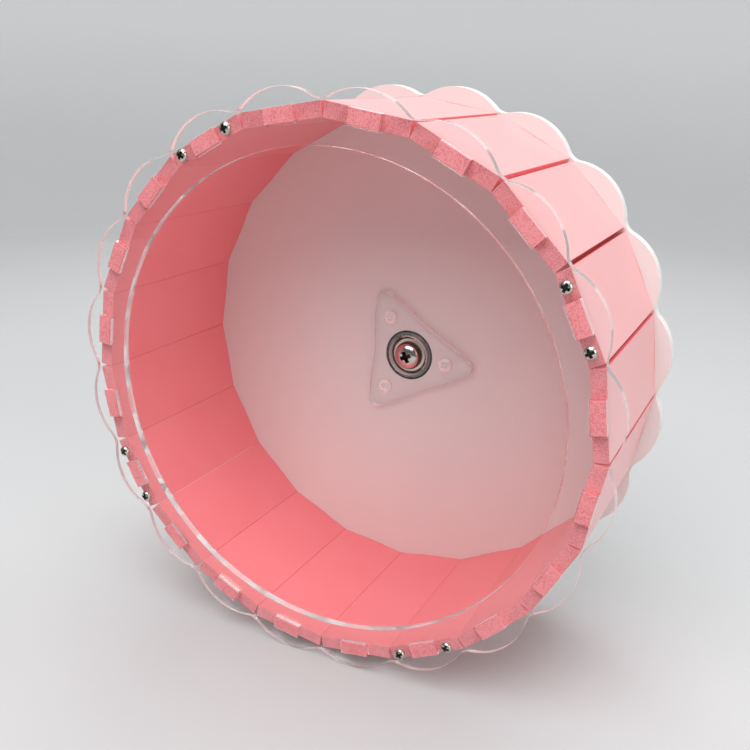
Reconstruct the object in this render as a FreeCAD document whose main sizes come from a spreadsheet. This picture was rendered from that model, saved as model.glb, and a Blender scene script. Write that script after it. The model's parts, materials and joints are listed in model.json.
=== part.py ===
import FreeCAD, Part
import math
import os
import Sketcher

# Rodent exercise wheel: a drum of twenty foam-board slats between a clear scalloped front ring
# and a closed scalloped rear disc. The disc holds a ball bearing between two clear hub plates, and
# the drum spins on a fixed bolt whose free thread goes through a cage wall.
#
# Frame: the spin axis is Y. The open front faces -Y, +Z is up, and the origin lies on the axis in
# the plane where the nut's flange meets the cage wall. The wheel stands on two of its scallops.

DOC = FreeCAD.newDocument("ExerciseWheel")
SHEET = DOC.addObject("Spreadsheet::Sheet", "Sizes")

DRIVING_SIZES = [
    ("slat_count", 20, "slats round the drum"),
    ("drum_turn", 1.5, "slats that the drum is turned back, so that a joint lies straight below"),
    ("slat_radius", 94, "axis to the middle of a slat's inner face"),
    ("slat_thickness", 5, "foam board of the slats"),
    ("slat_gap", 0.2, "between two slats at their inner edges"),
    ("drum_width", 74, "clear width between ring and disc"),
    ("tab_width", 11, "tab on each end of a slat"),
    ("tab_clearance", 0.15, "round a tab in its slot"),
    ("ring_thickness", 3, "clear sheet of the front ring"),
    ("ring_lip", 7, "how far the ring reaches inside the slats"),
    ("scallop_radius", 22, "arc of one scallop"),
    ("scallop_height", 6, "scallop tip beyond the slats' outer faces"),
    ("valley_round", 6, "fillet between two scallops"),
    ("rim_screw_diameter", 2.3, "shank of a rim screw"),
    ("rim_screw_length", 12, "rim screw under its head"),
    ("rim_screw_head", 4.2, "head of a rim screw"),
    ("rim_screw_head_height", 1.5, "head of a rim screw"),
    ("rim_screw_cross", 2.3, "cross recess from end to end"),
    ("rim_screw_every", 5, "slats from one screwed slat to the next"),
    ("screw_hole_clearance", 0.1, "round a screw in a plate"),
    ("thread_clearance", 0.02, "round a screw in its pilot hole or nut"),
    ("pilot_spare", 1, "pilot hole beyond a screw's tip"),
    ("hub_plate_thickness", 3, "clear sheet of the two hub plates"),
    ("hub_overlap", 2.3, "hub plate over the bearing's edge"),
    ("hub_wall", 4.8, "hub plate beyond the bearing at its waist"),
    ("hub_screw_inset", 6.9, "bearing's edge to a hub screw's axis"),
    ("hub_tip_length", 14.1, "hub screw's axis to the plate's sharp tip"),
    ("hub_flank_radius", 150, "bowed flank of a hub plate"),
    ("hub_tip_round", 3.5, "rounding of a hub plate's tips"),
    ("hub_waist_round", 20, "rounding of a hub plate's waists"),
    ("hub_screw_count", 3, "screws and tips of a hub plate"),
    ("hub_screw_diameter", 3, "shank of a hub screw"),
    ("hub_screw_head", 6, "head of a hub screw"),
    ("hub_screw_head_height", 2, "head of a hub screw"),
    ("hub_screw_cross", 3, "cross recess from end to end"),
    ("hub_screw_tail", 1.6, "hub screw beyond its nut"),
    ("hub_nut_width", 5.5, "across the flats of a hub nut"),
    ("hub_nut_height", 2.4, "height of a hub nut"),
    ("bearing_bore", 12, "bore of the ball bearing"),
    ("bearing_outside", 21, "outside of the ball bearing"),
    ("bearing_width", 5, "width of the bearing and of the disc's board"),
    ("bearing_fit", 0.02, "round the bearing and in its bore"),
    ("ball_count", 12, "balls in the bearing"),
    ("ball_share", 0.53, "ball's diameter, of the bearing's wall or width, whichever is less"),
    ("ball_play", 0.05, "ball to race and to cage"),
    ("groove_ease", 0.06, "race arc larger than the ball"),
    ("land_share", 0.84, "ball circle to the rings' lands, of the ball's radius"),
    ("shield_thickness", 0.3, "sheet of a shield"),
    ("shield_recess", 0.2, "shield below the bearing's face"),
    ("shield_seat", 0.4, "shield into the outer ring"),
    ("shield_gap", 0.2, "shield's edge to the inner ring"),
    ("cage_rim", 0.3, "cage beside a ball"),
    ("cage_share", 0.5, "cage's thickness, of the space between the lands"),
    ("bolt_diameter", 6, "free thread of the axle bolt"),
    ("bolt_core", 5.35, "axle bolt's shank, and its thread inside the nut"),
    ("bolt_free_length", 17.2, "free thread behind the nut"),
    ("bolt_head", 11.8, "head of the axle bolt"),
    ("bolt_head_height", 4.2, "head of the axle bolt"),
    ("bolt_cross", 6, "cross recess from end to end"),
    ("bolt_clearance", 0.1, "round the bolt in sleeve and spacer"),
    ("sleeve_margin", 0.25, "sleeve's flange and spacer inside the inner ring's edge"),
    ("sleeve_flange_thickness", 0.8, "flange of the sleeve"),
    ("spacer_length", 6, "bearing to nut"),
    ("nut_width", 10, "across the flats of the flange nut"),
    ("nut_height", 6, "height of the flange nut"),
    ("nut_flange", 14.2, "flange of the nut"),
    ("nut_flange_height", 1.2, "flange of the nut"),
    ("nut_mouth", 0.375, "countersink of a nut beyond the thread's full radius"),
    ("head_round_share", 0.7, "rounding of a screw head, of its height"),
    ("cross_arm_share", 0.34, "arm of a cross recess, of its length"),
    ("cross_depth_share", 0.55, "depth of a cross recess, of the head's height"),
    ("tip_chamfer_share", 0.15, "chamfer of a screw's end, of its diameter"),
]
for row, (alias, value, note) in enumerate(DRIVING_SIZES, start=1):
    SHEET.set(f"A{row}", note)
    SHEET.set(f"B{row}", str(value))
    SHEET.setAlias(f"B{row}", alias)
DOC.recompute()

# Sizes and places that follow from the driving ones, as expressions
PITCH = "(360 / Sizes.slat_count)"
DRUM_TURN = f"(-Sizes.drum_turn * {PITCH})"
DISC_FRONT = "(-(Sizes.nut_height + Sizes.spacer_length + Sizes.bearing_width))"
RING_BACK = f"({DISC_FRONT} - Sizes.drum_width)"
RING_FRONT = f"({RING_BACK} - Sizes.ring_thickness)"
DISC_BACK = f"({DISC_FRONT} + Sizes.bearing_width)"
HALF_SLAT = "(Sizes.slat_radius * tan(180 / Sizes.slat_count) - Sizes.slat_gap / 2)"
SLAT_MIDDLE = "(Sizes.slat_radius + Sizes.slat_thickness / 2)"
SCREW_OFFSET = f"(({HALF_SLAT} + Sizes.tab_width / 2) / 2)"
SCREWED_SLATS = "floor(Sizes.slat_count / Sizes.rim_screw_every)"
SCALLOP_CENTRE = "(Sizes.slat_radius + Sizes.slat_thickness + Sizes.scallop_height - Sizes.scallop_radius)"
VALLEY_SIDE = f"({SCALLOP_CENTRE} * sin({PITCH} / 2))"
VALLEY = f"({SCALLOP_CENTRE} * cos({PITCH} / 2) + sqrt(Sizes.scallop_radius ^ 2 - {VALLEY_SIDE} ^ 2))"
BEARING_RADIUS = "(Sizes.bearing_outside / 2)"
BORE_RADIUS = "(Sizes.bearing_bore / 2)"
HUB_HOLE = f"({BEARING_RADIUS} - Sizes.hub_overlap)"
HUB_CIRCLE = f"({BEARING_RADIUS} + Sizes.hub_screw_inset)"
HUB_WAIST = f"({BEARING_RADIUS} + Sizes.hub_wall)"
HUB_TIP = f"({HUB_CIRCLE} + Sizes.hub_tip_length)"
HUB_STACK = "(2 * Sizes.hub_plate_thickness + Sizes.bearing_width)"
HUB_SCREW_LENGTH = f"({HUB_STACK} + Sizes.hub_nut_height + Sizes.hub_screw_tail)"
BALL_CIRCLE = f"(({BEARING_RADIUS} + {BORE_RADIUS}) / 2)"
BEARING_WALL = f"({BEARING_RADIUS} - {BORE_RADIUS})"
BALL_RADIUS = f"(min({BEARING_WALL}; Sizes.bearing_width) * Sizes.ball_share / 2)"
LAND_STEP = f"({BALL_RADIUS} * Sizes.land_share)"
GROOVE_RADIUS = f"({BALL_RADIUS} + Sizes.groove_ease)"
GROOVE_SHIFT = "(Sizes.groove_ease - Sizes.ball_play)"
INNER_LAND = f"({BALL_CIRCLE} - {LAND_STEP})"
OUTER_LAND = f"({BALL_CIRCLE} + {LAND_STEP})"
SHIELD_OUTSIDE = f"({OUTER_LAND} + Sizes.shield_seat)"
SHIELD_DEPTH = "(Sizes.shield_recess + Sizes.shield_thickness)"
HALF_WIDTH = "(Sizes.bearing_width / 2)"
BOLT_SEAT = f"({DISC_FRONT} - Sizes.sleeve_flange_thickness)"
BOLT_HOLE = "(Sizes.bolt_diameter / 2 + Sizes.bolt_clearance)"
FLANGE_RADIUS = f"({INNER_LAND} - Sizes.sleeve_margin)"
AXIS_Y = FreeCAD.Vector(0, 1, 0)
AXIS_Z = FreeCAD.Vector(0, 0, 1)
HEXAGON_SIDES = 6
SAME_PLACE = 0.01


def number(expression):
    """Value of an expression on the sheet's sizes."""
    return float(SHEET.evalExpression(expression.replace("Sizes.", "")))


def origin_feature(body, role):
    return next(feature for feature in body.Origin.OriginFeatures if feature.Role == role)


def place(obj, along_axis="0", turn="0"):
    """Binds an object's place along the spin axis and its turn about it."""
    obj.Placement = FreeCAD.Placement(FreeCAD.Vector(), FreeCAD.Rotation(AXIS_Y, number(turn)))
    obj.setExpression("Placement.Base.y", along_axis)
    obj.setExpression("Placement.Rotation.Angle", turn)


def new_body(label, along_axis="0", turn="0"):
    body = DOC.addObject("PartDesign::Body", label)
    body.Label = label
    place(body, along_axis, turn)
    return body


def new_sketch(body, name, role, offset="0"):
    sketch = body.newObject("Sketcher::SketchObject", name)
    sketch.AttachmentSupport = [(origin_feature(body, role), "")]
    sketch.MapMode = "FlatFace"
    sketch.setExpression("AttachmentOffset.Base.z", offset)
    return sketch


def pin_point(sketch, geometry, end, x, y):
    """Binds a sketch point's two coordinates to expressions."""
    for kind, axis, expression in (("DistanceX", -2, x), ("DistanceY", -1, y)):
        value = number(expression)
        if expression == "0":
            sketch.addConstraint(Sketcher.Constraint("PointOnObject", geometry, end, axis))
        elif value >= 0:
            index = sketch.addConstraint(Sketcher.Constraint(kind, -1, 1, geometry, end, value))
            sketch.setExpression(f"Constraints[{index}]", expression)
        else:
            index = sketch.addConstraint(Sketcher.Constraint(kind, geometry, end, -1, 1, -value))
            sketch.setExpression(f"Constraints[{index}]", f"-({expression})")


def add_outline(sketch, points):
    """Closed outline of straight lines through points given as pairs of expressions."""
    corners = [FreeCAD.Vector(number(x), number(y), 0) for x, y in points]
    following = corners[1:] + corners[:1]
    lines = [sketch.addGeometry(Part.LineSegment(a, b)) for a, b in zip(corners, following)]
    for line, next_line in zip(lines, lines[1:] + lines[:1]):
        sketch.addConstraint(Sketcher.Constraint("Coincident", line, 2, next_line, 1))
    for line, (x, y) in zip(lines, points):
        pin_point(sketch, line, 1, x, y)


def add_circle(sketch, radius, x="0", y="0"):
    centre = FreeCAD.Vector(number(x), number(y), 0)
    circle = sketch.addGeometry(Part.Circle(centre, AXIS_Z, number(radius)))
    index = sketch.addConstraint(Sketcher.Constraint("Radius", circle, number(radius)))
    sketch.setExpression(f"Constraints[{index}]", radius)
    pin_point(sketch, circle, 3, x, y)


def add_feature(body, kind, name, sketch, **bound):
    """Adds a sketch feature and binds its named properties to expressions."""
    feature = body.newObject(f"PartDesign::{kind}", name)
    feature.Profile = sketch
    for prop, expression in bound.items():
        feature.setExpression(prop, expression)
    sketch.Visibility = False
    return feature


def pad_back(body, name, sketch, thickness):
    """Pads a sketch of the XZ plane towards +Y."""
    pad = add_feature(body, "Pad", name, sketch, Length=thickness)
    pad.Reversed = True
    return pad


def cut_through(body, name, sketch):
    """Cuts a sketch of the XZ plane right through the body, towards +Y."""
    pocket = add_feature(body, "Pocket", name, sketch)
    pocket.Type = "ThroughAll"
    return pocket


def spin(body, kind, name, sketch):
    """Revolution or Groove of a sketch about the spin axis."""
    feature = add_feature(body, kind, name, sketch)
    feature.ReferenceAxis = (origin_feature(body, "Y_Axis"), [""])
    return feature


def repeat(body, name, feature, count, spacing=None):
    """Repeats a feature about the spin axis, evenly or at a given spacing."""
    pattern = body.newObject("PartDesign::PolarPattern", name)
    pattern.Originals = [feature]
    pattern.Axis = (origin_feature(body, "Y_Axis"), [""])
    pattern.setExpression("Occurrences", count)
    if spacing:
        pattern.Mode = "Spacing"
        pattern.setExpression("Offset", spacing)
    body.Tip = pattern
    return pattern


def upright_edges(feature, radius):
    """Names of the edges along Y at this distance from the axis."""
    names = []
    for index, edge in enumerate(feature.Shape.Edges, start=1):
        ends = [vertex.Point for vertex in edge.Vertexes]
        distances = [math.hypot(end.x, end.z) for end in ends]
        in_place = all(abs(distance - number(radius)) < SAME_PLACE for distance in distances)
        if in_place and abs(ends[-1].y - ends[0].y) > SAME_PLACE:
            names.append(f"Edge{index}")
    return names


def round_edges(body, name, edges, radius):
    base = body.Tip
    fillet = body.newObject("PartDesign::Fillet", name)
    fillet.Base = (base, edges)
    fillet.setExpression("Radius", radius)
    body.Tip = fillet
    return fillet


# Scalloped plates of the drum

def scalloped_plate(label, along_axis, thickness, centre_hole):
    """Round plate with one scallop, one slot and its share of screw holes per slat."""
    body = new_body(label, along_axis, DRUM_TURN)
    core = new_sketch(body, f"{label}_core", "XZ_Plane")
    add_circle(core, SCALLOP_CENTRE)
    pad_back(body, f"{label}_core_pad", core, thickness)
    scallop = new_sketch(body, f"{label}_scallop", "XZ_Plane")
    add_circle(scallop, "Sizes.scallop_radius", "0", SCALLOP_CENTRE)
    scallop_pad = pad_back(body, f"{label}_scallop_pad", scallop, thickness)
    rim = repeat(body, f"{label}_rim", scallop_pad, "Sizes.slat_count")
    DOC.recompute()
    round_edges(body, f"{label}_valleys", upright_edges(rim, VALLEY), "Sizes.valley_round")

    middle = new_sketch(body, f"{label}_middle", "XZ_Plane")
    add_circle(middle, centre_hole)
    cut_through(body, f"{label}_middle_cut", middle)

    half_slot = "(Sizes.tab_width / 2 + Sizes.tab_clearance)"
    low = "(Sizes.slat_radius - Sizes.tab_clearance)"
    high = "(Sizes.slat_radius + Sizes.slat_thickness + Sizes.tab_clearance)"
    slot = new_sketch(body, f"{label}_slot", "XZ_Plane")
    add_outline(slot, [(f"-{half_slot}", low), (half_slot, low), (half_slot, high), (f"-{half_slot}", high)])
    slot_cut = cut_through(body, f"{label}_slot_cut", slot)
    repeat(body, f"{label}_slots", slot_cut, "Sizes.slat_count")

    holes = new_sketch(body, f"{label}_screw_holes", "XZ_Plane")
    for side in ("-", ""):
        hole_radius = "(Sizes.rim_screw_diameter / 2 + Sizes.screw_hole_clearance)"
        add_circle(holes, hole_radius, f"{side}{SCREW_OFFSET}", SLAT_MIDDLE)
    hole_cut = cut_through(body, f"{label}_screw_hole_cut", holes)
    repeat(body, f"{label}_screw_hole_ring", hole_cut, SCREWED_SLATS, f"Sizes.rim_screw_every * {PITCH}")
    return body


def front_ring():
    opening = "(Sizes.slat_radius - Sizes.ring_lip)"
    return scalloped_plate("front_ring", RING_FRONT, "Sizes.ring_thickness", opening)


def cut_hub_holes(body, label):
    """Three holes for the hub screws, on their circle."""
    holes = new_sketch(body, f"{label}_hub_hole", "XZ_Plane")
    add_circle(holes, "(Sizes.hub_screw_diameter / 2 + Sizes.screw_hole_clearance)", "0", HUB_CIRCLE)
    cut = cut_through(body, f"{label}_hub_hole_cut", holes)
    repeat(body, f"{label}_hub_holes", cut, "Sizes.hub_screw_count")


def rear_disc():
    bearing_hole = f"({BEARING_RADIUS} + Sizes.bearing_fit)"
    body = scalloped_plate("rear_disc", DISC_FRONT, "Sizes.bearing_width", bearing_hole)
    cut_hub_holes(body, "rear_disc")
    return body


# Slats: flat boards, square at the edges, with one tab at each end

def slat(index):
    label = f"slat_{index + 1:02d}"
    body = new_body(label, RING_BACK, f"({index} * {PITCH} + {DRUM_TURN})")
    board = new_sketch(body, f"{label}_board", "XY_Plane", "Sizes.slat_radius")
    half_tab = "(Sizes.tab_width / 2)"
    front_tab = "(-Sizes.ring_thickness)"
    back = "Sizes.drum_width"
    back_tab = "(Sizes.drum_width + Sizes.bearing_width)"
    right_side = [
        (half_tab, front_tab), (half_tab, "0"), (HALF_SLAT, "0"),
        (HALF_SLAT, back), (half_tab, back), (half_tab, back_tab),
    ]
    left_side = [(f"-{x}", y) for x, y in reversed(right_side)]
    add_outline(board, right_side + left_side)
    add_feature(body, "Pad", f"{label}_pad", board, Length="Sizes.slat_thickness")
    first = index % int(number("Sizes.rim_screw_every")) == 0
    if first and index < number(SCREWED_SLATS) * number("Sizes.rim_screw_every"):
        cut_pilot_holes(body, label, "front", "0", "Sizes.ring_thickness")
        cut_pilot_holes(body, label, "rear", "-Sizes.drum_width", "Sizes.bearing_width")
    return body


def cut_pilot_holes(body, label, end, offset, plate_thickness):
    """Two pilot holes into a slat's end, beside its tab."""
    holes = new_sketch(body, f"{label}_{end}_pilots", "XZ_Plane", offset)
    for side in ("-", ""):
        hole_radius = "(Sizes.rim_screw_diameter / 2 + Sizes.thread_clearance)"
        add_circle(holes, hole_radius, f"{side}{SCREW_OFFSET}", SLAT_MIDDLE)
    depth = f"(Sizes.rim_screw_length - {plate_thickness} + Sizes.pilot_spare)"
    pocket = add_feature(body, "Pocket", f"{label}_{end}_pilot_cut", holes, Length=depth)
    pocket.Reversed = end == "rear"


# Hub plates: three bowed tips round the bearing, one at the front of the disc and one behind it

def hub_plate(label, along_axis):
    body = new_body(label, along_axis, DRUM_TURN)
    lobe = new_sketch(body, f"{label}_lobe", "XZ_Plane")
    waist_x = f"({HUB_WAIST} * sin(180 / Sizes.hub_screw_count))"
    waist_y = f"({HUB_WAIST} * cos(180 / Sizes.hub_screw_count))"
    waist = FreeCAD.Vector(number(waist_x), number(waist_y), 0)
    tip = FreeCAD.Vector(0, number(HUB_TIP), 0)
    flank = number("Sizes.hub_flank_radius")
    chord = tip - waist
    outward = FreeCAD.Vector(chord.y, -chord.x, 0).normalize()
    rise = flank - math.sqrt(flank ** 2 - (chord.Length / 2) ** 2)
    bulge = (waist + tip) * 0.5 + outward * rise
    mirrored = [FreeCAD.Vector(-point.x, point.y, 0) for point in (waist, bulge)]
    right_line = lobe.addGeometry(Part.LineSegment(FreeCAD.Vector(), waist))
    right_flank = lobe.addGeometry(Part.Arc(waist, bulge, tip))
    left_flank = lobe.addGeometry(Part.Arc(tip, mirrored[1], mirrored[0]))
    left_line = lobe.addGeometry(Part.LineSegment(mirrored[0], FreeCAD.Vector()))
    joints = [
        (right_line, 2, right_flank, 1), (right_flank, 2, left_flank, 1),
        (left_flank, 2, left_line, 1), (left_line, 2, right_line, 1),
    ]
    for joint in joints:
        lobe.addConstraint(Sketcher.Constraint("Coincident", *joint))
    pin_point(lobe, right_line, 1, "0", "0")
    pin_point(lobe, right_line, 2, waist_x, waist_y)
    pin_point(lobe, left_line, 1, f"-{waist_x}", waist_y)
    pin_point(lobe, right_flank, 2, "0", HUB_TIP)
    for arc in (right_flank, left_flank):
        index = lobe.addConstraint(Sketcher.Constraint("Radius", arc, flank))
        lobe.setExpression(f"Constraints[{index}]", "Sizes.hub_flank_radius")
    lobe_pad = pad_back(body, f"{label}_lobe_pad", lobe, "Sizes.hub_plate_thickness")
    lobes = repeat(body, f"{label}_lobes", lobe_pad, "Sizes.hub_screw_count")
    DOC.recompute()
    tips = round_edges(body, f"{label}_tips", upright_edges(lobes, HUB_TIP), "Sizes.hub_tip_round")
    DOC.recompute()
    round_edges(body, f"{label}_waists", upright_edges(tips, HUB_WAIST), "Sizes.hub_waist_round")

    middle = new_sketch(body, f"{label}_middle", "XZ_Plane")
    add_circle(middle, HUB_HOLE)
    cut_through(body, f"{label}_middle_cut", middle)
    cut_hub_holes(body, label)
    return body


# Screws with a rounded head and a cross recess, drawn with the shank towards +Y from the head's seat

def cross_screw(label, name, length, neck=None):
    """Screw of the named sizes; a neck is a thinner stretch under the head, as radius and length."""
    size = f"Sizes.{name}"
    body = new_body(label)
    shank = f"({size}_diameter / 2)"
    chamfer = f"({size}_diameter * Sizes.tip_chamfer_share)"
    head_top = f"(-{size}_head_height)"
    head_edge = f"({size}_head / 2)"
    under_head = [(shank, "0")]
    if neck:
        neck_radius, neck_length = neck
        under_head = [(neck_radius, "0"), (neck_radius, neck_length), (shank, neck_length)]
    tip = [(shank, f"({length} - {chamfer})"), (f"({shank} - {chamfer})", length), ("0", length)]
    profile = new_sketch(body, f"{label}_profile", "XY_Plane")
    add_outline(profile, [("0", head_top), (head_edge, head_top), (head_edge, "0")] + under_head + tip)
    turned = spin(body, "Revolution", f"{label}_turned", profile)
    DOC.recompute()
    top = min(edge.BoundBox.YMin for edge in turned.Shape.Edges)
    rim = [f"Edge{index}" for index, edge in enumerate(turned.Shape.Edges, start=1)
           if edge.Curve.TypeId == "Part::GeomCircle" and edge.BoundBox.YMax < top / 2]
    round_edges(body, f"{label}_dome", rim, f"{size}_head_height * Sizes.head_round_share")

    reach = f"({size}_cross / 2)"
    arm = f"({size}_cross * Sizes.cross_arm_share / 2)"
    recess = new_sketch(body, f"{label}_recess", "XZ_Plane", f"{size}_head_height")
    quarter = [(arm, reach), (arm, arm), (reach, arm)]
    lower_right = [(reach, f"-{arm}"), (arm, f"-{arm}"), (arm, f"-{reach}")]
    lower_left = [(f"-{x}", f"-{y}") for x, y in quarter]
    upper_left = [(f"-{reach}", arm), (f"-{arm}", arm), (f"-{arm}", reach)]
    add_outline(recess, quarter + lower_right + lower_left + upper_left)
    depth = f"({size}_head_height * Sizes.cross_depth_share)"
    add_feature(body, "Pocket", f"{label}_recess_cut", recess, Length=depth)
    return body


def nut_blank(label, width, height, bore, thread, flange=None, flange_height=None):
    """Hexagon nut along +Z: plain bore, countersunk far face, and a round flange there if it has one."""
    prism = DOC.addObject("Part::Prism", f"{label}_hexagon")
    prism.Polygon = HEXAGON_SIDES
    prism.setExpression("Circumradius", f"{width} / 2 / cos(180 / {HEXAGON_SIDES})")
    prism.setExpression("Height", height)
    solid = prism
    if flange:
        foot = DOC.addObject("Part::Cylinder", f"{label}_flange")
        foot.setExpression("Radius", f"{flange} / 2")
        foot.setExpression("Height", flange_height)
        foot.setExpression("Placement.Base.z", f"{height} - {flange_height}")
        solid = DOC.addObject("Part::Fuse", f"{label}_blank")
        solid.Base = prism
        solid.Tool = foot
    hole = DOC.addObject("Part::Cylinder", f"{label}_hole")
    hole.setExpression("Radius", bore)
    hole.setExpression("Height", height)
    bored = DOC.addObject("Part::Cut", f"{label}_bored")
    bored.Base = solid
    bored.Tool = hole
    mouth = f"({thread} / 2 + Sizes.nut_mouth)"
    sink = DOC.addObject("Part::Cone", f"{label}_countersink")
    sink.setExpression("Radius1", bore)
    sink.setExpression("Radius2", mouth)
    sink.setExpression("Height", f"{mouth} - {bore}")
    sink.setExpression("Placement.Base.z", f"{height} - ({mouth} - {bore})")
    nut = DOC.addObject("Part::Cut", label)
    nut.Label = label
    nut.Base = bored
    nut.Tool = sink
    return nut


def group(label, copies, placement):
    """One node of several separate solids."""
    node = DOC.addObject("Part::Feature", label)
    node.Label = label
    node.Shape = Part.makeCompound(copies)
    node.Placement = placement
    return node


def drum_placement():
    return FreeCAD.Placement(FreeCAD.Vector(), FreeCAD.Rotation(AXIS_Y, number(DRUM_TURN)))


def copies_round(shape, point, angles, own_turn=FreeCAD.Rotation()):
    """Copies of a shape at a point carried round the spin axis."""
    copies = []
    for angle in angles:
        turn = FreeCAD.Rotation(AXIS_Y, angle)
        copy = shape.copy()
        copy.Placement = FreeCAD.Placement(turn.multVec(point), turn * own_turn)
        copies.append(copy)
    return copies


def rim_screws(label, master, along_axis, own_turn):
    """Two screws beside the tab of each screwed slat."""
    step = number(f"Sizes.rim_screw_every * {PITCH}")
    angles = [index * step for index in range(int(number(SCREWED_SLATS)))]
    copies = []
    for side in (-1, 1):
        point = FreeCAD.Vector(side * number(SCREW_OFFSET), number(along_axis), number(SLAT_MIDDLE))
        copies += copies_round(master.Shape, point, angles, own_turn)
    return group(label, copies, drum_placement())


def hub_fasteners(label, shape, along_axis, own_turn):
    """One fastener at each tip of the hub plates."""
    count = int(number("Sizes.hub_screw_count"))
    angles = [index * 360 / count for index in range(count)]
    point = FreeCAD.Vector(0, number(along_axis), number(HUB_CIRCLE))
    return group(label, copies_round(shape, point, angles, own_turn), drum_placement())


# Ball bearing, drawn about its own middle

def bearing_ring(label, outside, inside, groove_at):
    """Plain ring with a race for the balls."""
    body = new_body(label, f"({DISC_FRONT} + {HALF_WIDTH})", DRUM_TURN)
    section = new_sketch(body, f"{label}_section", "XY_Plane")
    low = f"(-{HALF_WIDTH})"
    add_outline(section, [(inside, low), (outside, low), (outside, HALF_WIDTH), (inside, HALF_WIDTH)])
    spin(body, "Revolution", f"{label}_turned", section)
    race = new_sketch(body, f"{label}_race", "XY_Plane")
    add_circle(race, GROOVE_RADIUS, groove_at, "0")
    spin(body, "Groove", f"{label}_race_cut", race)
    return body


def bearing_outer_ring():
    label = "bearing_outer_ring"
    body = bearing_ring(label, BEARING_RADIUS, OUTER_LAND, f"({BALL_CIRCLE} - {GROOVE_SHIFT})")
    for end, sign in (("front", "-"), ("rear", "")):
        seat = new_sketch(body, f"{label}_{end}_seat", "XY_Plane")
        face = f"({sign}{HALF_WIDTH})"
        floor = f"({sign}({HALF_WIDTH} - {SHIELD_DEPTH}))"
        add_outline(seat, [
            (INNER_LAND, floor), (SHIELD_OUTSIDE, floor), (SHIELD_OUTSIDE, face), (INNER_LAND, face),
        ])
        spin(body, "Groove", f"{label}_{end}_seat_cut", seat)
    return body


def bearing_inner_ring():
    return bearing_ring("bearing_inner_ring", INNER_LAND, BORE_RADIUS, f"({BALL_CIRCLE} + {GROOVE_SHIFT})")


def bearing_shield(label, middle):
    """Thin washer seated in the outer ring, clear of the inner one."""
    body = new_body(label, middle, DRUM_TURN)
    section = new_sketch(body, f"{label}_section", "XY_Plane")
    inside = f"({INNER_LAND} + Sizes.shield_gap)"
    outside = f"({SHIELD_OUTSIDE} - Sizes.bearing_fit)"
    half = "(Sizes.shield_thickness / 2)"
    add_outline(section, [(inside, f"-{half}"), (outside, f"-{half}"), (outside, half), (inside, half)])
    spin(body, "Revolution", f"{label}_turned", section)
    return body


def bearing_cage():
    label = "bearing_cage"
    body = new_body(label, f"({DISC_FRONT} + {HALF_WIDTH})", DRUM_TURN)
    section = new_sketch(body, f"{label}_section", "XY_Plane")
    inside = f"({BALL_CIRCLE} - {LAND_STEP} * Sizes.cage_share)"
    outside = f"({BALL_CIRCLE} + {LAND_STEP} * Sizes.cage_share)"
    half = f"({BALL_RADIUS} + Sizes.ball_play + Sizes.cage_rim)"
    add_outline(section, [(inside, f"-{half}"), (outside, f"-{half}"), (outside, half), (inside, half)])
    spin(body, "Revolution", f"{label}_turned", section)
    DOC.recompute()
    pocket = body.newObject("PartDesign::SubtractiveSphere", f"{label}_pocket")
    pocket.setExpression("Radius", f"{BALL_RADIUS} + Sizes.ball_play")
    pocket.AttachmentSupport = [(origin_feature(body, "XY_Plane"), "")]
    pocket.MapMode = "FlatFace"
    pocket.setExpression("AttachmentOffset.Base.z", BALL_CIRCLE)
    repeat(body, f"{label}_pockets", pocket, "Sizes.ball_count")
    return body


def bearing_balls():
    count = int(number("Sizes.ball_count"))
    angles = [index * 360 / count for index in range(count)]
    point = FreeCAD.Vector(0, number(f"{DISC_FRONT} + {HALF_WIDTH}"), number(BALL_CIRCLE))
    ball = Part.makeSphere(number(BALL_RADIUS))
    return group("bearing_balls", copies_round(ball, point, angles), drum_placement())


# Fixed axle: flanged sleeve in the bearing, spacer behind it, bolt and flange nut

def axle_sleeve():
    label = "axle_sleeve"
    body = new_body(label, DISC_FRONT)
    section = new_sketch(body, f"{label}_section", "XY_Plane")
    barrel = f"({BORE_RADIUS} - Sizes.bearing_fit)"
    face = "(-Sizes.sleeve_flange_thickness)"
    add_outline(section, [
        (BOLT_HOLE, face), (FLANGE_RADIUS, face), (FLANGE_RADIUS, "0"), (barrel, "0"),
        (barrel, "Sizes.bearing_width"), (BOLT_HOLE, "Sizes.bearing_width"),
    ])
    spin(body, "Revolution", f"{label}_turned", section)
    return body


def axle_spacer():
    label = "axle_spacer"
    body = new_body(label, DISC_BACK)
    ring = new_sketch(body, f"{label}_ring", "XZ_Plane")
    add_circle(ring, FLANGE_RADIUS)
    add_circle(ring, BOLT_HOLE)
    pad_back(body, f"{label}_pad", ring, "Sizes.spacer_length")
    return body


def axle_bolt():
    held_length = f"(-{BOLT_SEAT})"
    length = f"({held_length} + Sizes.bolt_free_length)"
    body = cross_screw("axle_bolt", "bolt", length, ("(Sizes.bolt_core / 2)", held_length))
    place(body, BOLT_SEAT, DRUM_TURN)
    return body


def axle_nut():
    nut = nut_blank("axle_nut", "Sizes.nut_width", "Sizes.nut_height",
                    "(Sizes.bolt_core / 2 + Sizes.thread_clearance)", "Sizes.bolt_diameter",
                    "Sizes.nut_flange", "Sizes.nut_flange_height")
    nut.Placement = FreeCAD.Placement(FreeCAD.Vector(), FreeCAD.Rotation(AXIS_Z, AXIS_Y))
    nut.setExpression("Placement.Base.y", "-Sizes.nut_height")
    return nut


# The whole wheel

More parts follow.
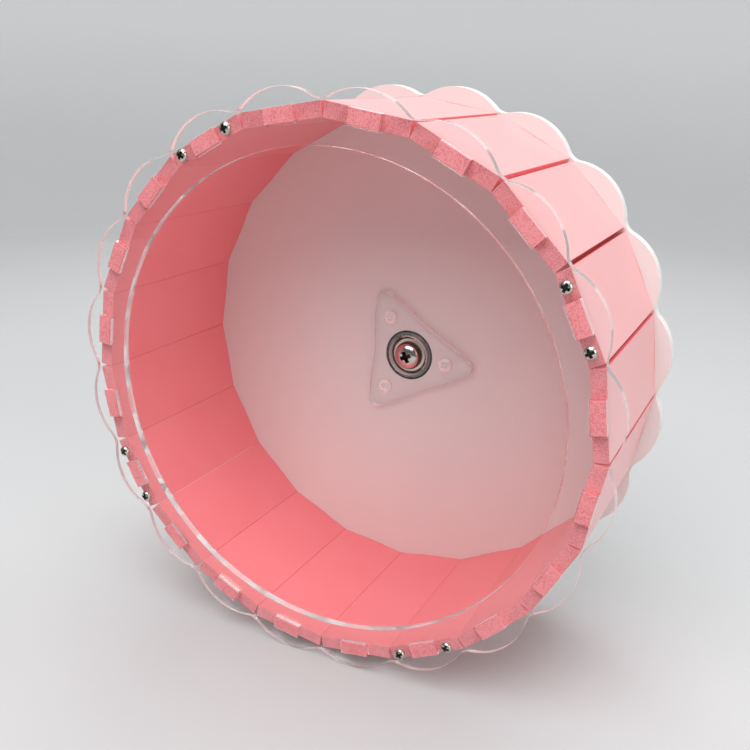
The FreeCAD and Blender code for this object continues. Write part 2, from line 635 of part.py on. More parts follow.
slats = [slat(index) for index in range(int(number("Sizes.slat_count")))]
plates = [
    front_ring(),
    rear_disc(),
    hub_plate("hub_plate_front", f"({DISC_FRONT} - Sizes.hub_plate_thickness)"),
    hub_plate("hub_plate_rear", DISC_BACK),
]
shield_middle = "(Sizes.shield_recess + Sizes.shield_thickness / 2)"
bearing = [
    bearing_outer_ring(),
    bearing_inner_ring(),
    bearing_shield("bearing_shield_front", f"({DISC_FRONT} + {shield_middle})"),
    bearing_shield("bearing_shield_rear", f"({DISC_BACK} - {shield_middle})"),
    bearing_cage(),
    bearing_balls(),
]
axle = [axle_bolt(), axle_sleeve(), axle_spacer(), axle_nut()]

rim_screw = cross_screw("rim_screw", "rim_screw", "Sizes.rim_screw_length")
hub_screw = cross_screw("hub_screw", "hub_screw", HUB_SCREW_LENGTH)
hub_nut = nut_blank("hub_nut", "Sizes.hub_nut_width", "Sizes.hub_nut_height",
                    "(Sizes.hub_screw_diameter / 2 + Sizes.thread_clearance)", "Sizes.hub_screw_diameter")
DOC.recompute()
forwards = FreeCAD.Rotation()
backwards = FreeCAD.Rotation(AXIS_Z, 180)
upright_to_axis = FreeCAD.Rotation(AXIS_Z, AXIS_Y)
fasteners = [
    rim_screws("rim_screws_front", rim_screw, RING_FRONT, forwards),
    rim_screws("rim_screws_rear", rim_screw, DISC_BACK, backwards),
    hub_fasteners("hub_screws", hub_screw.Shape, f"({DISC_FRONT} - Sizes.hub_plate_thickness)", forwards),
    hub_fasteners("hub_nuts", hub_nut.Shape, f"({DISC_BACK} + Sizes.hub_plate_thickness)", upright_to_axis),
]
DOC.recompute()

nodes = slats + plates + bearing + axle + fasteners
for obj in DOC.Objects:
    if "Invalid" in obj.State or "Error" in obj.State:
        raise RuntimeError(f"{obj.Name} failed: {obj.State}")
for node in nodes:
    if node.Shape.isNull() or not node.Shape.isValid():
        raise RuntimeError(f"{node.Label} has no valid shape")

os.makedirs("parts", exist_ok=True)
for node in nodes:
    node.Shape.exportStep(f"parts/{node.Label}.step")
    print(node.Label, len(node.Shape.Solids), round(node.Shape.Volume, 1))
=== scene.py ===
# %% [markdown]
# # A running wheel for a small rodent
# The wheel is a drum of flat pink boards. A clear scalloped ring holds them in front, and a closed
# scalloped disc holds them behind and turns on a small ball bearing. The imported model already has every
# piece at its real size, so it is loaded as a fixed frame, and this lesson models the finer shapes and
# the finishes on it.

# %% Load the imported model
import json
import math

import bmesh
import bpy
from mathutils import Matrix, Vector


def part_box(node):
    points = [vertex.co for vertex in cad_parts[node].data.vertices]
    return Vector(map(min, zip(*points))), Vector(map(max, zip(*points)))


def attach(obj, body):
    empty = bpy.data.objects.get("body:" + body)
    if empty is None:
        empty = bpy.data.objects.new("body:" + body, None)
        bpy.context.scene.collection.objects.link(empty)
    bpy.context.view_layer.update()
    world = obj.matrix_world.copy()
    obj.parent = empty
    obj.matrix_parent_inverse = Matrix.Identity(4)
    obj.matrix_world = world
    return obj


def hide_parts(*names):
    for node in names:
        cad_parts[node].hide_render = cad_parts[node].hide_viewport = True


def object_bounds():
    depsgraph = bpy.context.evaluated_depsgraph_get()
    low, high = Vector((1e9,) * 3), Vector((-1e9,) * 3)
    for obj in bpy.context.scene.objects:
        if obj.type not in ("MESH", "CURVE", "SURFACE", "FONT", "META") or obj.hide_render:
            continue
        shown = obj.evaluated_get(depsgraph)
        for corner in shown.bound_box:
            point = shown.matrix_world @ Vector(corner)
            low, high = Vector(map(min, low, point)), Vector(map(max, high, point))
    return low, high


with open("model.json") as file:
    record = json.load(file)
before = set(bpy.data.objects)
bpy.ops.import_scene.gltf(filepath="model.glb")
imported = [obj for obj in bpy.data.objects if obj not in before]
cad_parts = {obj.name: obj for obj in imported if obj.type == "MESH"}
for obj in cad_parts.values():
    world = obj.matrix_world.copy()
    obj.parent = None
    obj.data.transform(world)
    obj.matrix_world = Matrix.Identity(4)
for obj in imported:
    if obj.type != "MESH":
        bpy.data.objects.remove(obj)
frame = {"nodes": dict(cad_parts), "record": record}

MM = 0.001
CAD_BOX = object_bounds()
print("CAD box in mm:", [[round(value / MM, 2) for value in corner] for corner in CAD_BOX])

# %% [markdown]
# ## Measuring the drum
# The main places and sizes in this lesson come from the frame. A slat stands at its own angle about the
# spin axis, so one of them is turned upright in thought, and its extents then give the board's thickness,
# width and tabs. The clear ring and the disc give the planes where the boards end.

# %% Measure the drum
ORIGIN = Vector()
UP = Vector((0, 0, 1))
SPIN_AXIS = Vector((0, 1, 0))
SLAT_NODES = sorted(name for name in frame["nodes"] if name.startswith("slat_"))
HALF_PITCH = math.pi / len(SLAT_NODES)


def about_axis(angle):
    """Turn about the spin axis, from straight up towards +X."""
    return Matrix.Rotation(angle, 3, SPIN_AXIS)


def turn_of(node):
    """Angle of a slat's middle about the spin axis."""
    low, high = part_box(node)
    return math.atan2(low.x + high.x, low.z + high.z)


def depths(node):
    """Front and back of a node along the spin axis."""
    return [corner.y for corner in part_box(node)]


def radius_of(point):
    """Distance of a point from the spin axis."""
    return math.hypot(point.x, point.z)


def radii(node):
    """Smallest and largest distance of a node's vertices from the spin axis."""
    distances = [radius_of(vertex.co) for vertex in frame["nodes"][node].data.vertices]
    return min(distances), max(distances)


FIRST_TURN = turn_of(SLAT_NODES[0])
RING_FRONT, RING_BACK = depths("front_ring")
DISC_FRONT, DISC_BACK = depths("rear_disc")
upright = [about_axis(-FIRST_TURN) @ vertex.co for vertex in frame["nodes"][SLAT_NODES[0]].data.vertices]
SLAT_INSIDE = min(point.z for point in upright)
SLAT_OUTSIDE = max(point.z for point in upright)
SLAT_HALF = max(point.x for point in upright)
TAB_HALF = max(point.x for point in upright if point.y < (RING_FRONT + RING_BACK) / 2)
print("slat in mm:", [round(size / MM, 2) for size in (SLAT_INSIDE, SLAT_OUTSIDE, SLAT_HALF, TAB_HALF)])

# %% [markdown]
# ## Small helpers for nodes
# A material is a graph of nodes. A few short helpers keep the finishes readable: they add a node and fill
# its sockets from values or from other sockets, mix two colours or values, start a material or a group, or
# read a face attribute as a mask. Shared effects are node groups, built once, that put out masks and
# heights only.

# %% Node helpers
def add_node(tree, kind, sockets=None, **settings):
    """Adds a node; sockets gives each input a value or another node's output."""
    node = tree.nodes.new(kind)
    for name, value in settings.items():
        setattr(node, name, value)
    for name, value in (sockets or {}).items():
        if isinstance(value, bpy.types.NodeSocket):
            tree.links.new(value, node.inputs[name])
        else:
            node.inputs[name].default_value = value
    return node


def mix_colour(tree, share, first, second):
    """Colour between two colours; the sockets' numbers are those of a colour mix."""
    return add_node(tree, "ShaderNodeMix", {0: share, 6: first, 7: second}, data_type="RGBA").outputs[2]


def mix_value(tree, share, first, second):
    """Number between two numbers."""
    return add_node(tree, "ShaderNodeMix", {0: share, 2: first, 3: second}).outputs[0]


def inverse(tree, value):
    """One divided by a value: a texture's scale for a pattern of that size."""
    return add_node(tree, "ShaderNodeMath", {0: 1.0, 1: value}, operation="DIVIDE").outputs[0]


def new_finish(name, **sockets):
    """Starts a material and keeps its plain name as its slot; returns it, its tree and its main shader."""
    finish = bpy.data.materials.new(name + "_finish")
    finish["slot"] = name
    finish.use_nodes = True
    shader = finish.node_tree.nodes["Principled BSDF"]
    for socket, value in sockets.items():
        shader.inputs[socket.replace("_", " ")].default_value = value
    return finish, finish.node_tree, shader


def new_group(name, sizes, outputs):
    """Starts a node group with sizes in metres as inputs; returns it, its inputs and its output node."""
    group = bpy.data.node_groups.new(name, "ShaderNodeTree")
    for size, value in sizes.items():
        socket = group.interface.new_socket(size, in_out="INPUT", socket_type="NodeSocketFloat")
        socket.default_value = value
    for output in outputs:
        group.interface.new_socket(output, in_out="OUTPUT", socket_type="NodeSocketFloat")
    return group, add_node(group, "NodeGroupInput").outputs, add_node(group, "NodeGroupOutput")


def place_group(tree, group, **sizes):
    """Puts a group into a material, with its own sizes, and returns its outputs."""
    return add_node(tree, "ShaderNodeGroup", sizes, node_tree=group).outputs


def face_mask(tree, name):
    """Value of a face attribute, or zero on pieces without it."""
    return add_node(tree, "ShaderNodeAttribute", attribute_name=name).outputs["Fac"]


# %% [markdown]
# ## Foamed board
# Slats and disc are cut from foamed plastic board. Its rolled faces are smooth and satin, with a slow
# change of tone, and its sawn edges show the foam's cells as fine pits, darkened with painted shade in
# their hollows. One group makes the skin, one the cells. The slats are given a deep coral inside the
# drum and a paler pink outside, and the difference is painted light: the paler outside stands in for
# sheen and bright light from above, the deeper inside for light bounced round the drum. Two face
# attributes, named cut and outer, say where the saw went and which side a face is on, so one finish
# covers a whole board. A slat's ends are sawn, and its long sides are slit with a blade and stay smooth.

# %% Groups for the board
def make_board_skin():
    """Slow patches of tone and a fine grain on a rolled face."""
    group, sizes, out = new_group("board_skin", {"Patch": 30 * MM, "Grain": 0.7 * MM}, ("Tone", "Grain"))
    place = add_node(group, "ShaderNodeTexCoord").outputs["Object"]
    for output, size in (("Tone", "Patch"), ("Grain", "Grain")):
        scale = inverse(group, sizes[size])
        noise = add_node(group, "ShaderNodeTexNoise", {"Vector": place, "Scale": scale, "Detail": 3.0})
        group.links.new(noise.outputs["Fac"], out.inputs[output])
    return group


def make_foam_cells():
    """Open cells on a sawn edge, in looser and denser clumps, as a mask for painted shade and a height."""
    group, sizes, out = new_group("foam_cells", {"Cell": 0.55 * MM, "Clump": 5 * MM}, ("PitShade", "Height"))
    place = add_node(group, "ShaderNodeTexCoord").outputs["Object"]
    cells = add_node(group, "ShaderNodeTexVoronoi", {
        "Vector": place, "Scale": inverse(group, sizes["Cell"])})
    clumps = add_node(group, "ShaderNodeTexNoise", {
        "Vector": place, "Scale": inverse(group, sizes["Clump"])})
    reach = add_node(group, "ShaderNodeMapRange", {
        "Value": clumps.outputs["Fac"], "From Min": 0.3, "From Max": 0.7, "To Min": 0.45, "To Max": 0.85})
    # Mask of the painted shade in each cell's hollow.
    pit_shade = add_node(group, "ShaderNodeMapRange", {
        "Value": cells.outputs["Distance"], "From Max": reach.outputs["Result"], "To Min": 1.0,
        "To Max": 0.0}, interpolation_type="SMOOTHSTEP").outputs["Result"]
    height = add_node(group, "ShaderNodeMath", {0: 1.0, 1: pit_shade}, operation="SUBTRACT").outputs[0]
    group.links.new(pit_shade, out.inputs["PitShade"])
    group.links.new(height, out.inputs["Height"])
    return group


BOARD_SKIN = make_board_skin()
FOAM_CELLS = make_foam_cells()
print("groups:", BOARD_SKIN.name, FOAM_CELLS.name)

# %% Finish of the boards
DEEPER_POWER = 1.15
SATIN_ROUGHNESS = (0.3, 0.45)
SAWN_ROUGHNESS = 0.75


def mottled(tree, tone, colour):
    """Colour that goes slowly to a slightly deeper tone of itself."""
    return mix_colour(tree, tone, colour, (*(part ** DEEPER_POWER for part in colour[:3]), 1))


def board_finish(name, inside, outside, sawn, pit_shade):
    """Foamed board: colours of its two rolled faces, painted light where they differ, of a sawn edge and of
    the painted shade in its pits.
    """
    finish, tree, shader = new_finish(name)
    skin = place_group(tree, BOARD_SKIN)
    foam = place_group(tree, FOAM_CELLS)
    cut = face_mask(tree, "cut")
    faces = mix_colour(tree, face_mask(tree, "outer"), mottled(tree, skin["Tone"], inside),
                       mottled(tree, skin["Tone"], outside))
    # Pits are darkened with painted shade, standing in for shadow in the foam's open cells.
    edges = mix_colour(tree, foam["PitShade"], sawn, pit_shade)
    satin = mix_value(tree, skin["Tone"], *SATIN_ROUGHNESS)
    relief = mix_value(tree, cut, skin["Grain"], foam["Height"])
    bump = add_node(tree, "ShaderNodeBump", {"Strength": 0.25, "Distance": 0.1 * MM, "Height": relief})
    tree.links.new(mix_colour(tree, cut, faces, edges), shader.inputs["Base Color"])
    tree.links.new(mix_value(tree, cut, satin, SAWN_ROUGHNESS), shader.inputs["Roughness"])
    tree.links.new(bump.outputs["Normal"], shader.inputs["Normal"])
    return finish


# The pink board's paler outside is painted sheen and light from above, and its deeper inside is painted
# light bounced round the drum; both boards' pit colours are painted shade.
PINK_BOARD = board_finish("pink_board", inside=(0.94, 0.288, 0.311, 1), outside=(0.95, 0.5, 0.505, 1),
                          sawn=(0.88, 0.29, 0.31, 1), pit_shade=(0.62, 0.13, 0.15, 1))
WHITE_BOARD = board_finish("white_board", inside=(0.82, 0.73, 0.72, 1), outside=(0.82, 0.73, 0.72, 1),
                           sawn=(0.9, 0.86, 0.85, 1), pit_shade=(0.75, 0.66, 0.64, 1))
print("finishes:", PINK_BOARD.name, WHITE_BOARD.name)

# %% [markdown]
# ## Small helpers for meshes
# New pieces start from a few vertices. A chain of edges or a vertex spun into an arc draws an outline, an
# extrusion gives it thickness, and a bevel eases the sharp edges that a tool or a polisher would break.
# The last helper stores the piece: it rides on the body of the node that it stands for.

# %% Mesh helpers
WELD = 0.002 * MM
SMOOTH_BELOW = math.radians(50)
BODY_OF = {node: body for body, nodes in frame["record"]["behaviour"]["bodies"].items() for node in nodes}


def chain(bm, points, closed=False):
    """Adds vertices with an edge from each to the next."""
    row = [bm.verts.new(point) for point in points]
    for start, end in zip(row, row[1:] + row[:1] if closed else row[1:]):
        bm.edges.new((start, end))
    return row


def vertices_in(geom):
    """Vertices among the geometry that an operator gives back."""
    return [item for item in geom if isinstance(item, bmesh.types.BMVert)]


def edges_among(bm, vertices):
    """Edges with both ends among some vertices."""
    return [edge for edge in bm.edges if edge.verts[0] in vertices and edge.verts[1] in vertices]


def arc(bm, start, centre, axis, angle, steps):
    """Spins a vertex into an arc and returns the arc's last vertex."""
    spun = bmesh.ops.spin(bm, geom=[start], cent=centre, axis=axis, angle=angle, steps=steps)
    return vertices_in(spun["geom_last"])[0]


def thicken(bm, offset):
    """Extrudes a flat piece by an offset."""
    raised = bmesh.ops.extrude_face_region(bm, geom=bm.faces[:])["geom"]
    bmesh.ops.translate(bm, verts=vertices_in(raised), vec=offset)


def ease(bm, width, sharper_than=35):
    """Bevels every edge sharper than an angle in degrees."""
    sharp = [edge for edge in bm.edges if edge.calc_face_angle(0) > math.radians(sharper_than)]
    bmesh.ops.bevel(bm, geom=sharp, offset=width, offset_type="OFFSET", segments=2, profile=0.5,
                    affect="EDGES", material=-1)


def keep_piece(bm, name, node, finish, edge_finish=None):
    """Stores a piece that stands for a CAD node and rides on its body; cut faces may differ in finish."""
    mesh = bpy.data.meshes.new(name)
    mesh.materials.append(finish)
    if edge_finish:
        mesh.materials.append(edge_finish)
        cut = bm.faces.layers.float["cut"]
        for face in bm.faces:
            face.material_index = round(face[cut])
    bm.to_mesh(mesh)
    bm.free()
    mesh.shade_smooth()
    mesh.set_sharp_from_angle(angle=SMOOTH_BELOW)
    piece = bpy.data.objects.new(name, mesh)
    bpy.context.scene.collection.objects.link(piece)
    piece.modifiers.new("even_normals", "WEIGHTED_NORMAL").keep_sharp = True
    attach(piece, BODY_OF[node])
    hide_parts(node)
    print(name, "has", len(mesh.polygons), "faces")


# %% [markdown]
# ## Slats
# Each slat is a rectangle of board with one tab at each end. Half its outline is drawn at the drum's top,
# mirrored, filled and raised to the board's thickness. Boards all but touch along their inner edges, and
# every edge is eased by about a tenth of a millimetre, as a sharp tool leaves it. Both attributes are read
# from the way each face points, and then the board is turned to its place.

# %% Make the slats
JOINT_GAP = 0.04 * MM
BOARD_EASE = 0.12 * MM


def slat_board(turn):
    """One board with its tabs, at its place in the drum."""
    bm = bmesh.new()
    half = SLAT_INSIDE * math.tan(HALF_PITCH) - JOINT_GAP / 2
    chain(bm, [(x, y, SLAT_INSIDE) for x, y in (
        (0, RING_FRONT), (TAB_HALF, RING_FRONT), (TAB_HALF, RING_BACK), (half, RING_BACK),
        (half, DISC_FRONT), (TAB_HALF, DISC_FRONT), (TAB_HALF, DISC_BACK), (0, DISC_BACK))])
    bmesh.ops.mirror(bm, geom=bm.verts[:] + bm.edges[:], axis="X", merge_dist=WELD)
    bmesh.ops.edgeloop_fill(bm, edges=bm.edges[:])
    thicken(bm, UP * (SLAT_OUTSIDE - SLAT_INSIDE))
    bmesh.ops.dissolve_limit(bm, angle_limit=math.radians(1), verts=bm.verts[:], edges=bm.edges[:])
    bmesh.ops.recalc_face_normals(bm, faces=bm.faces[:])
    ease(bm, BOARD_EASE)
    cut = bm.faces.layers.float.new("cut")
    outer = bm.faces.layers.float.new("outer")
    for face in bm.faces:
        face[cut] = abs(face.normal.y)
        face[outer] = max(0, face.normal.z)
    bmesh.ops.rotate(bm, verts=bm.verts[:], cent=ORIGIN, matrix=about_axis(turn))
    return bm


for node in SLAT_NODES:
    keep_piece(slat_board(turn_of(node)), "pink_" + node, node, PINK_BOARD)

# %% [markdown]
# ## Clear plastic
# The ring and the hub plates are clear acrylic sheet, and the hub's screws and nuts a milkier moulded
# plastic. The shader lets light through and bends it. Faint smudges, the marks of hands and cleaning,
# change the gloss. Lamps and light from other surfaces go straight through, because bent light would need
# far more samples to look clean. A saw leaves the sheet's edges slightly frosted. They catch the light as
# pale lines and turn some of it aside, so they have a finish of their own, milkier on the hub plates than
# on the ring.

# %% Smudges and clear finishes
ACRYLIC_BEND = 1.49
WHITE = (1, 1, 1, 1)
FROSTED_LIGHT = (0.65, 0.6, 0.6, 1)
FROSTED_ROUGHNESS = (0.1, 0.35)


def make_smudges():
    """Soft patches left by hands, stretched a little as if wiped."""
    group, sizes, out = new_group("smudges", {"Patch": 12 * MM}, ("Smudge",))
    place = add_node(group, "ShaderNodeTexCoord").outputs["Object"]
    wiped = add_node(group, "ShaderNodeMapping", {"Vector": place, "Scale": (1.0, 0.4, 0.6)})
    noise = add_node(group, "ShaderNodeTexNoise", {
        "Vector": wiped.outputs["Vector"], "Scale": inverse(group, sizes["Patch"]), "Detail": 5.0,
        "Roughness": 0.6})
    patch = add_node(group, "ShaderNodeMapRange", {
        "Value": noise.outputs["Fac"], "From Min": 0.45, "From Max": 0.75}, interpolation_type="SMOOTHSTEP")
    group.links.new(patch.outputs["Result"], out.inputs["Smudge"])
    return group


SMUDGES = make_smudges()


def let_light_through(tree, shader, passed):
    """Lets a colour of the lamps and of light from other surfaces go straight through a material."""
    ray = add_node(tree, "ShaderNodeLightPath").outputs
    straight = add_node(tree, "ShaderNodeBsdfTransparent", {"Color": passed}).outputs[0]
    surface = shader.outputs[0]
    for kind in ("Is Diffuse Ray", "Is Shadow Ray"):
        surface = add_node(tree, "ShaderNodeMixShader", {0: ray[kind], 1: surface, 2: straight}).outputs[0]
    tree.links.new(surface, tree.nodes["Material Output"].inputs["Surface"])


def clear_finish(name, tint, clarity, bend, clean, smudged):
    """Clear plastic: tint, share of light let through, refraction, and roughness clean and smudged."""
    finish, tree, shader = new_finish(name, Base_Color=tint, IOR=bend, Transmission_Weight=clarity)
    smudge = place_group(tree, SMUDGES)["Smudge"]
    tree.links.new(mix_value(tree, smudge, clean, smudged), shader.inputs["Roughness"])
    let_light_through(tree, shader, WHITE)
    return finish


def frosted_finish(name, milky, clear, clarity):
    """Sawn edge of a clear sheet: two tones in the saw's grain, and the share of light let through."""
    finish, tree, shader = new_finish(name, IOR=ACRYLIC_BEND, Transmission_Weight=clarity)
    grain = place_group(tree, BOARD_SKIN, Patch=6 * MM, Grain=0.4 * MM)
    bump = add_node(tree, "ShaderNodeBump", {
        "Strength": 0.3, "Distance": 0.05 * MM, "Height": grain["Grain"]})
    tree.links.new(mix_colour(tree, grain["Tone"], milky, clear), shader.inputs["Base Color"])
    tree.links.new(mix_value(tree, grain["Grain"], *FROSTED_ROUGHNESS), shader.inputs["Roughness"])
    tree.links.new(bump.outputs["Normal"], shader.inputs["Normal"])
    let_light_through(tree, shader, FROSTED_LIGHT)
    return finish


CLEAR_SHEET = clear_finish("clear_sheet", tint=(0.99, 0.99, 0.99, 1), clarity=1.0, bend=ACRYLIC_BEND,
                           clean=0.0, smudged=0.05)
CLEAR_NYLON = clear_finish("clear_nylon", tint=(0.97, 0.9, 0.89, 1), clarity=0.5, bend=1.53,
                           clean=0.06, smudged=0.15)
SHEET_EDGE = frosted_finish("clear_sheet_edge", milky=(1.0, 0.98, 0.98, 1), clear=(0.96, 0.93, 0.93, 1),
                            clarity=0.65)
PLATE_EDGE = frosted_finish("hub_plate_edge", milky=(1.0, 0.98, 0.98, 1), clear=(0.97, 0.94, 0.94, 1),
                            clarity=0.25)
print("finishes:", CLEAR_SHEET.name, CLEAR_NYLON.name, SHEET_EDGE.name, PLATE_EDGE.name)

# %% [markdown]
# ## Ring and disc
# Both are flat sheets with one scallop and one slot for each slat. Half a scallop is two arcs that meet
# smoothly, so a vertex is spun about one centre and then about the other. The half is mirrored, repeated
# round the axis and welded, and circles for the opening and the screws join it. One fill makes the sheet
# with all its holes. The ring's slots and screw holes are cut clear, so they don't count as sawn. Its
# slots stand open by a hair on the tabs' inner faces, where they show as pale lines, and press on the
# outer ones.

# %% Draw a scalloped sheet
SCALLOP_RADIUS = 22 * MM
DIP_RADIUS = 6 * MM
RING_OPENING, TIP_RADIUS = radii("front_ring")
SLOT_MARGIN = 1 * MM


def circle(bm, centre, radius, steps):
    """Spins a vertex into a closed circle about an axis along the spin axis."""
    start = bm.verts.new(centre + Vector((radius, 0, 0)))
    bmesh.ops.spin(bm, geom=[start], cent=centre, axis=SPIN_AXIS, angle=math.tau, steps=steps,
                   use_merge=True)


def circles(bm, places, radius):
    """Draws one small hole at each place."""
    for place in places:
        circle(bm, place, radius, steps=24)


def repeat_round(bm, count):
    """Mirrors half an outline and repeats it about the spin axis from the first slat's place."""
    bmesh.ops.mirror(bm, geom=bm.verts[:] + bm.edges[:], axis="X", merge_dist=WELD)
    bmesh.ops.spin(bm, geom=bm.verts[:] + bm.edges[:], cent=ORIGIN, axis=SPIN_AXIS, angle=math.tau,
                   steps=count, use_duplicate=True)
    bmesh.ops.remove_doubles(bm, verts=bm.verts[:], dist=WELD)
    bmesh.ops.rotate(bm, verts=bm.verts[:], cent=ORIGIN, matrix=about_axis(FIRST_TURN))


def scallops_and_slots(bm, aside_gap, inner_gap, outer_gap):
    """Outline of all scallops and slots, with gaps at a tab's sides and on its inner and outer face."""
    crown = UP * (TIP_RADIUS - SCALLOP_RADIUS)
    aside = crown.z * math.sin(HALF_PITCH)
    along = crown.z * math.cos(HALF_PITCH)
    reach = along + math.sqrt((SCALLOP_RADIUS + DIP_RADIUS) ** 2 - aside ** 2)
    dip = about_axis(HALF_PITCH) @ UP * reach
    swing = math.atan2(dip.x, dip.z - crown.z)
    flank = arc(bm, bm.verts.new(UP * TIP_RADIUS), crown, SPIN_AXIS, swing, steps=16)
    arc(bm, flank, dip, SPIN_AXIS, HALF_PITCH - swing, steps=8)
    half, low, high = TAB_HALF + aside_gap, SLAT_INSIDE - inner_gap, SLAT_OUTSIDE + outer_gap
    chain(bm, [(0, 0, low), (half, 0, low), (half, 0, high), (0, 0, high)])
    repeat_round(bm, len(SLAT_NODES))


def cut_sheet(bm, front, back, eased):
    """Fills the outlines of a sheet, gives it its thickness, eases its edges and marks its sawn faces."""
    bmesh.ops.triangle_fill(bm, edges=bm.edges[:], use_beauty=True, use_dissolve=True)
    bmesh.ops.translate(bm, verts=bm.verts[:], vec=SPIN_AXIS * front)
    thicken(bm, SPIN_AXIS * (back - front))
    bmesh.ops.recalc_face_normals(bm, faces=bm.faces[:])
    ease(bm, eased)
    cut = bm.faces.layers.float.new("cut")
    for face in bm.faces:
        face[cut] = 1 - abs(face.normal.y)


def polish_slots(bm):
    """Takes the walls of slots and screw holes off the sawn faces, since they are cut clear."""
    cut = bm.faces.layers.float["cut"]
    for face in bm.faces:
        radius = radius_of(face.calc_center_median())
        if SLAT_INSIDE - SLOT_MARGIN < radius < SLAT_OUTSIDE + SLOT_MARGIN:
            face[cut] = 0


# %% Make the clear ring and the disc
RIM_SCREW_EVERY = 5
RIM_HOLE = 1.25 * MM
HUB_SCREW_CIRCLE = 17.4 * MM
HUB_HOLE = 1.6 * MM
BORE_STEPS = 64
RING_SLOTS = dict(aside_gap=0.06 * MM, inner_gap=0.3 * MM, outer_gap=-0.02 * MM)
DISC_SLOTS = dict(aside_gap=0.03 * MM, inner_gap=0.03 * MM, outer_gap=0.03 * MM)
RING_EASE = 0.15 * MM
SHOULDER_MIDDLE = (SLAT_HALF + TAB_HALF) / 2
BOARD_MIDDLE = (SLAT_INSIDE + SLAT_OUTSIDE) / 2
RIM_PLACES = [about_axis(turn_of(node)) @ Vector((side * SHOULDER_MIDDLE, 0, BOARD_MIDDLE))
              for node in SLAT_NODES[::RIM_SCREW_EVERY] for side in (-1, 1)]
HUB_TURNS = [FIRST_TURN + math.radians(turn) for turn in (0, 120, 240)]
HUB_PLACES = [about_axis(turn) @ UP * HUB_SCREW_CIRCLE for turn in HUB_TURNS]

ring = bmesh.new()
scallops_and_slots(ring, **RING_SLOTS)
circle(ring, ORIGIN, RING_OPENING, steps=160)
circles(ring, RIM_PLACES, RIM_HOLE)
cut_sheet(ring, RING_FRONT, RING_BACK, RING_EASE)
polish_slots(ring)
keep_piece(ring, "clear_ring", "front_ring", CLEAR_SHEET, SHEET_EDGE)

disc = bmesh.new()
scallops_and_slots(disc, **DISC_SLOTS)
circle(disc, ORIGIN, radii("rear_disc")[0], BORE_STEPS)
circles(disc, RIM_PLACES, RIM_HOLE)
circles(disc, HUB_PLACES, HUB_HOLE)
cut_sheet(disc, DISC_FRONT, DISC_BACK, BOARD_EASE)
keep_piece(disc, "white_disc", "rear_disc", WHITE_BOARD)

# %% [markdown]
# ## Hub plates
# A clear plate with three rounded lobes lies on each side of the disc and keeps the bearing in its hole.
# One half of a lobe is three arcs: the tip, a flank that bows out, and the waist that turns back to meet
# the next lobe. Their centres follow from the radii, since arcs that meet smoothly have their centres in
# line.

# %% Make the hub plates
HUB_TIP = 31.5 * MM
HUB_WAIST = 15.3 * MM
HUB_FLANK_RADIUS = 150 * MM
HUB_TIP_RADIUS = 3.5 * MM
HUB_WAIST_RADIUS = 20 * MM
PLATE_EASE = 0.3 * MM


def hub_lobes(bm):
    """Outline of a hub plate."""
    half_lobe = math.pi / len(HUB_TURNS)
    seam = about_axis(half_lobe) @ UP
    chord = seam * HUB_WAIST - UP * HUB_TIP
    bow = math.sqrt(HUB_FLANK_RADIUS ** 2 - (chord.length / 2) ** 2)
    flank_centre = UP * HUB_TIP + chord / 2 + SPIN_AXIS.cross(chord).normalized() * bow
    inner = HUB_FLANK_RADIUS - HUB_TIP_RADIUS
    tip_centre = UP * (flank_centre.z + math.sqrt(inner ** 2 - flank_centre.x ** 2))
    outer = HUB_FLANK_RADIUS + HUB_WAIST_RADIUS
    along = flank_centre.dot(seam)
    waist_centre = seam * (along + math.sqrt(outer ** 2 - flank_centre.length_squared + along ** 2))
    start = math.atan2(tip_centre.x - flank_centre.x, tip_centre.z - flank_centre.z)
    end = math.atan2(waist_centre.x - flank_centre.x, waist_centre.z - flank_centre.z)
    tip = arc(bm, bm.verts.new(tip_centre + UP * HUB_TIP_RADIUS), tip_centre, SPIN_AXIS, start, steps=10)
    flank = arc(bm, tip, flank_centre, SPIN_AXIS, end - start, steps=16)
    arc(bm, flank, waist_centre, SPIN_AXIS, half_lobe - end, steps=6)
    repeat_round(bm, len(HUB_TURNS))


for node in ("hub_plate_front", "hub_plate_rear"):
    plate = bmesh.new()
    hub_lobes(plate)
    circle(plate, ORIGIN, radii(node)[0], BORE_STEPS)
    circles(plate, HUB_PLACES, HUB_HOLE)
    cut_sheet(plate, *depths(node), PLATE_EASE)
    keep_piece(plate, "clear_" + node, node, CLEAR_SHEET, PLATE_EDGE)

# %% [markdown]
# ## Metals
# The axle bolt and its nut are bright nickel plate, and the rim screws have a slightly rougher plate in
# the same slot. The bearing is dark oiled steel, the sleeve and the spacer are turned metal, and the cage
# is stamped brass. They differ in colour and in gloss, and share two effects: smudges that dull the
# plate, and the fine rings that a lathe or a grinder leaves round the axle. The cross recesses and the
# skirt of the bolt's head are painted nearly black and duller, as painted shade where these hollows and
# the underside of the head lie in shadow, and a face attribute named recess says where.

# %% Turning marks and metal finishes
# Painted shade: colour and roughness of faces marked as recess, standing in for shadow in the crosses and
# under the bolt's head.
PAINTED_SHADE_COLOUR = (0.05, 0.046, 0.043, 1)
PAINTED_SHADE_ROUGHNESS = 0.5


def make_turning_marks():
    """Rings round the spin axis, as a height."""
    group, sizes, out = new_group("turning_marks", {"Ring": 0.12 * MM}, ("Height",))
    place = add_node(group, "ShaderNodeTexCoord").outputs["Object"]
    flat = add_node(group, "ShaderNodeMapping", {"Vector": place, "Scale": (1.0, 0.0, 1.0)})
    distance = add_node(group, "ShaderNodeVectorMath", {0: flat.outputs["Vector"]}, operation="LENGTH")
    rings = add_node(group, "ShaderNodeTexNoise", {
        "W": distance.outputs["Value"], "Scale": inverse(group, sizes["Ring"]), "Detail": 2.0},
        noise_dimensions="1D")
    group.links.new(rings.outputs["Fac"], out.inputs["Height"])
    return group


TURNING_MARKS = make_turning_marks()


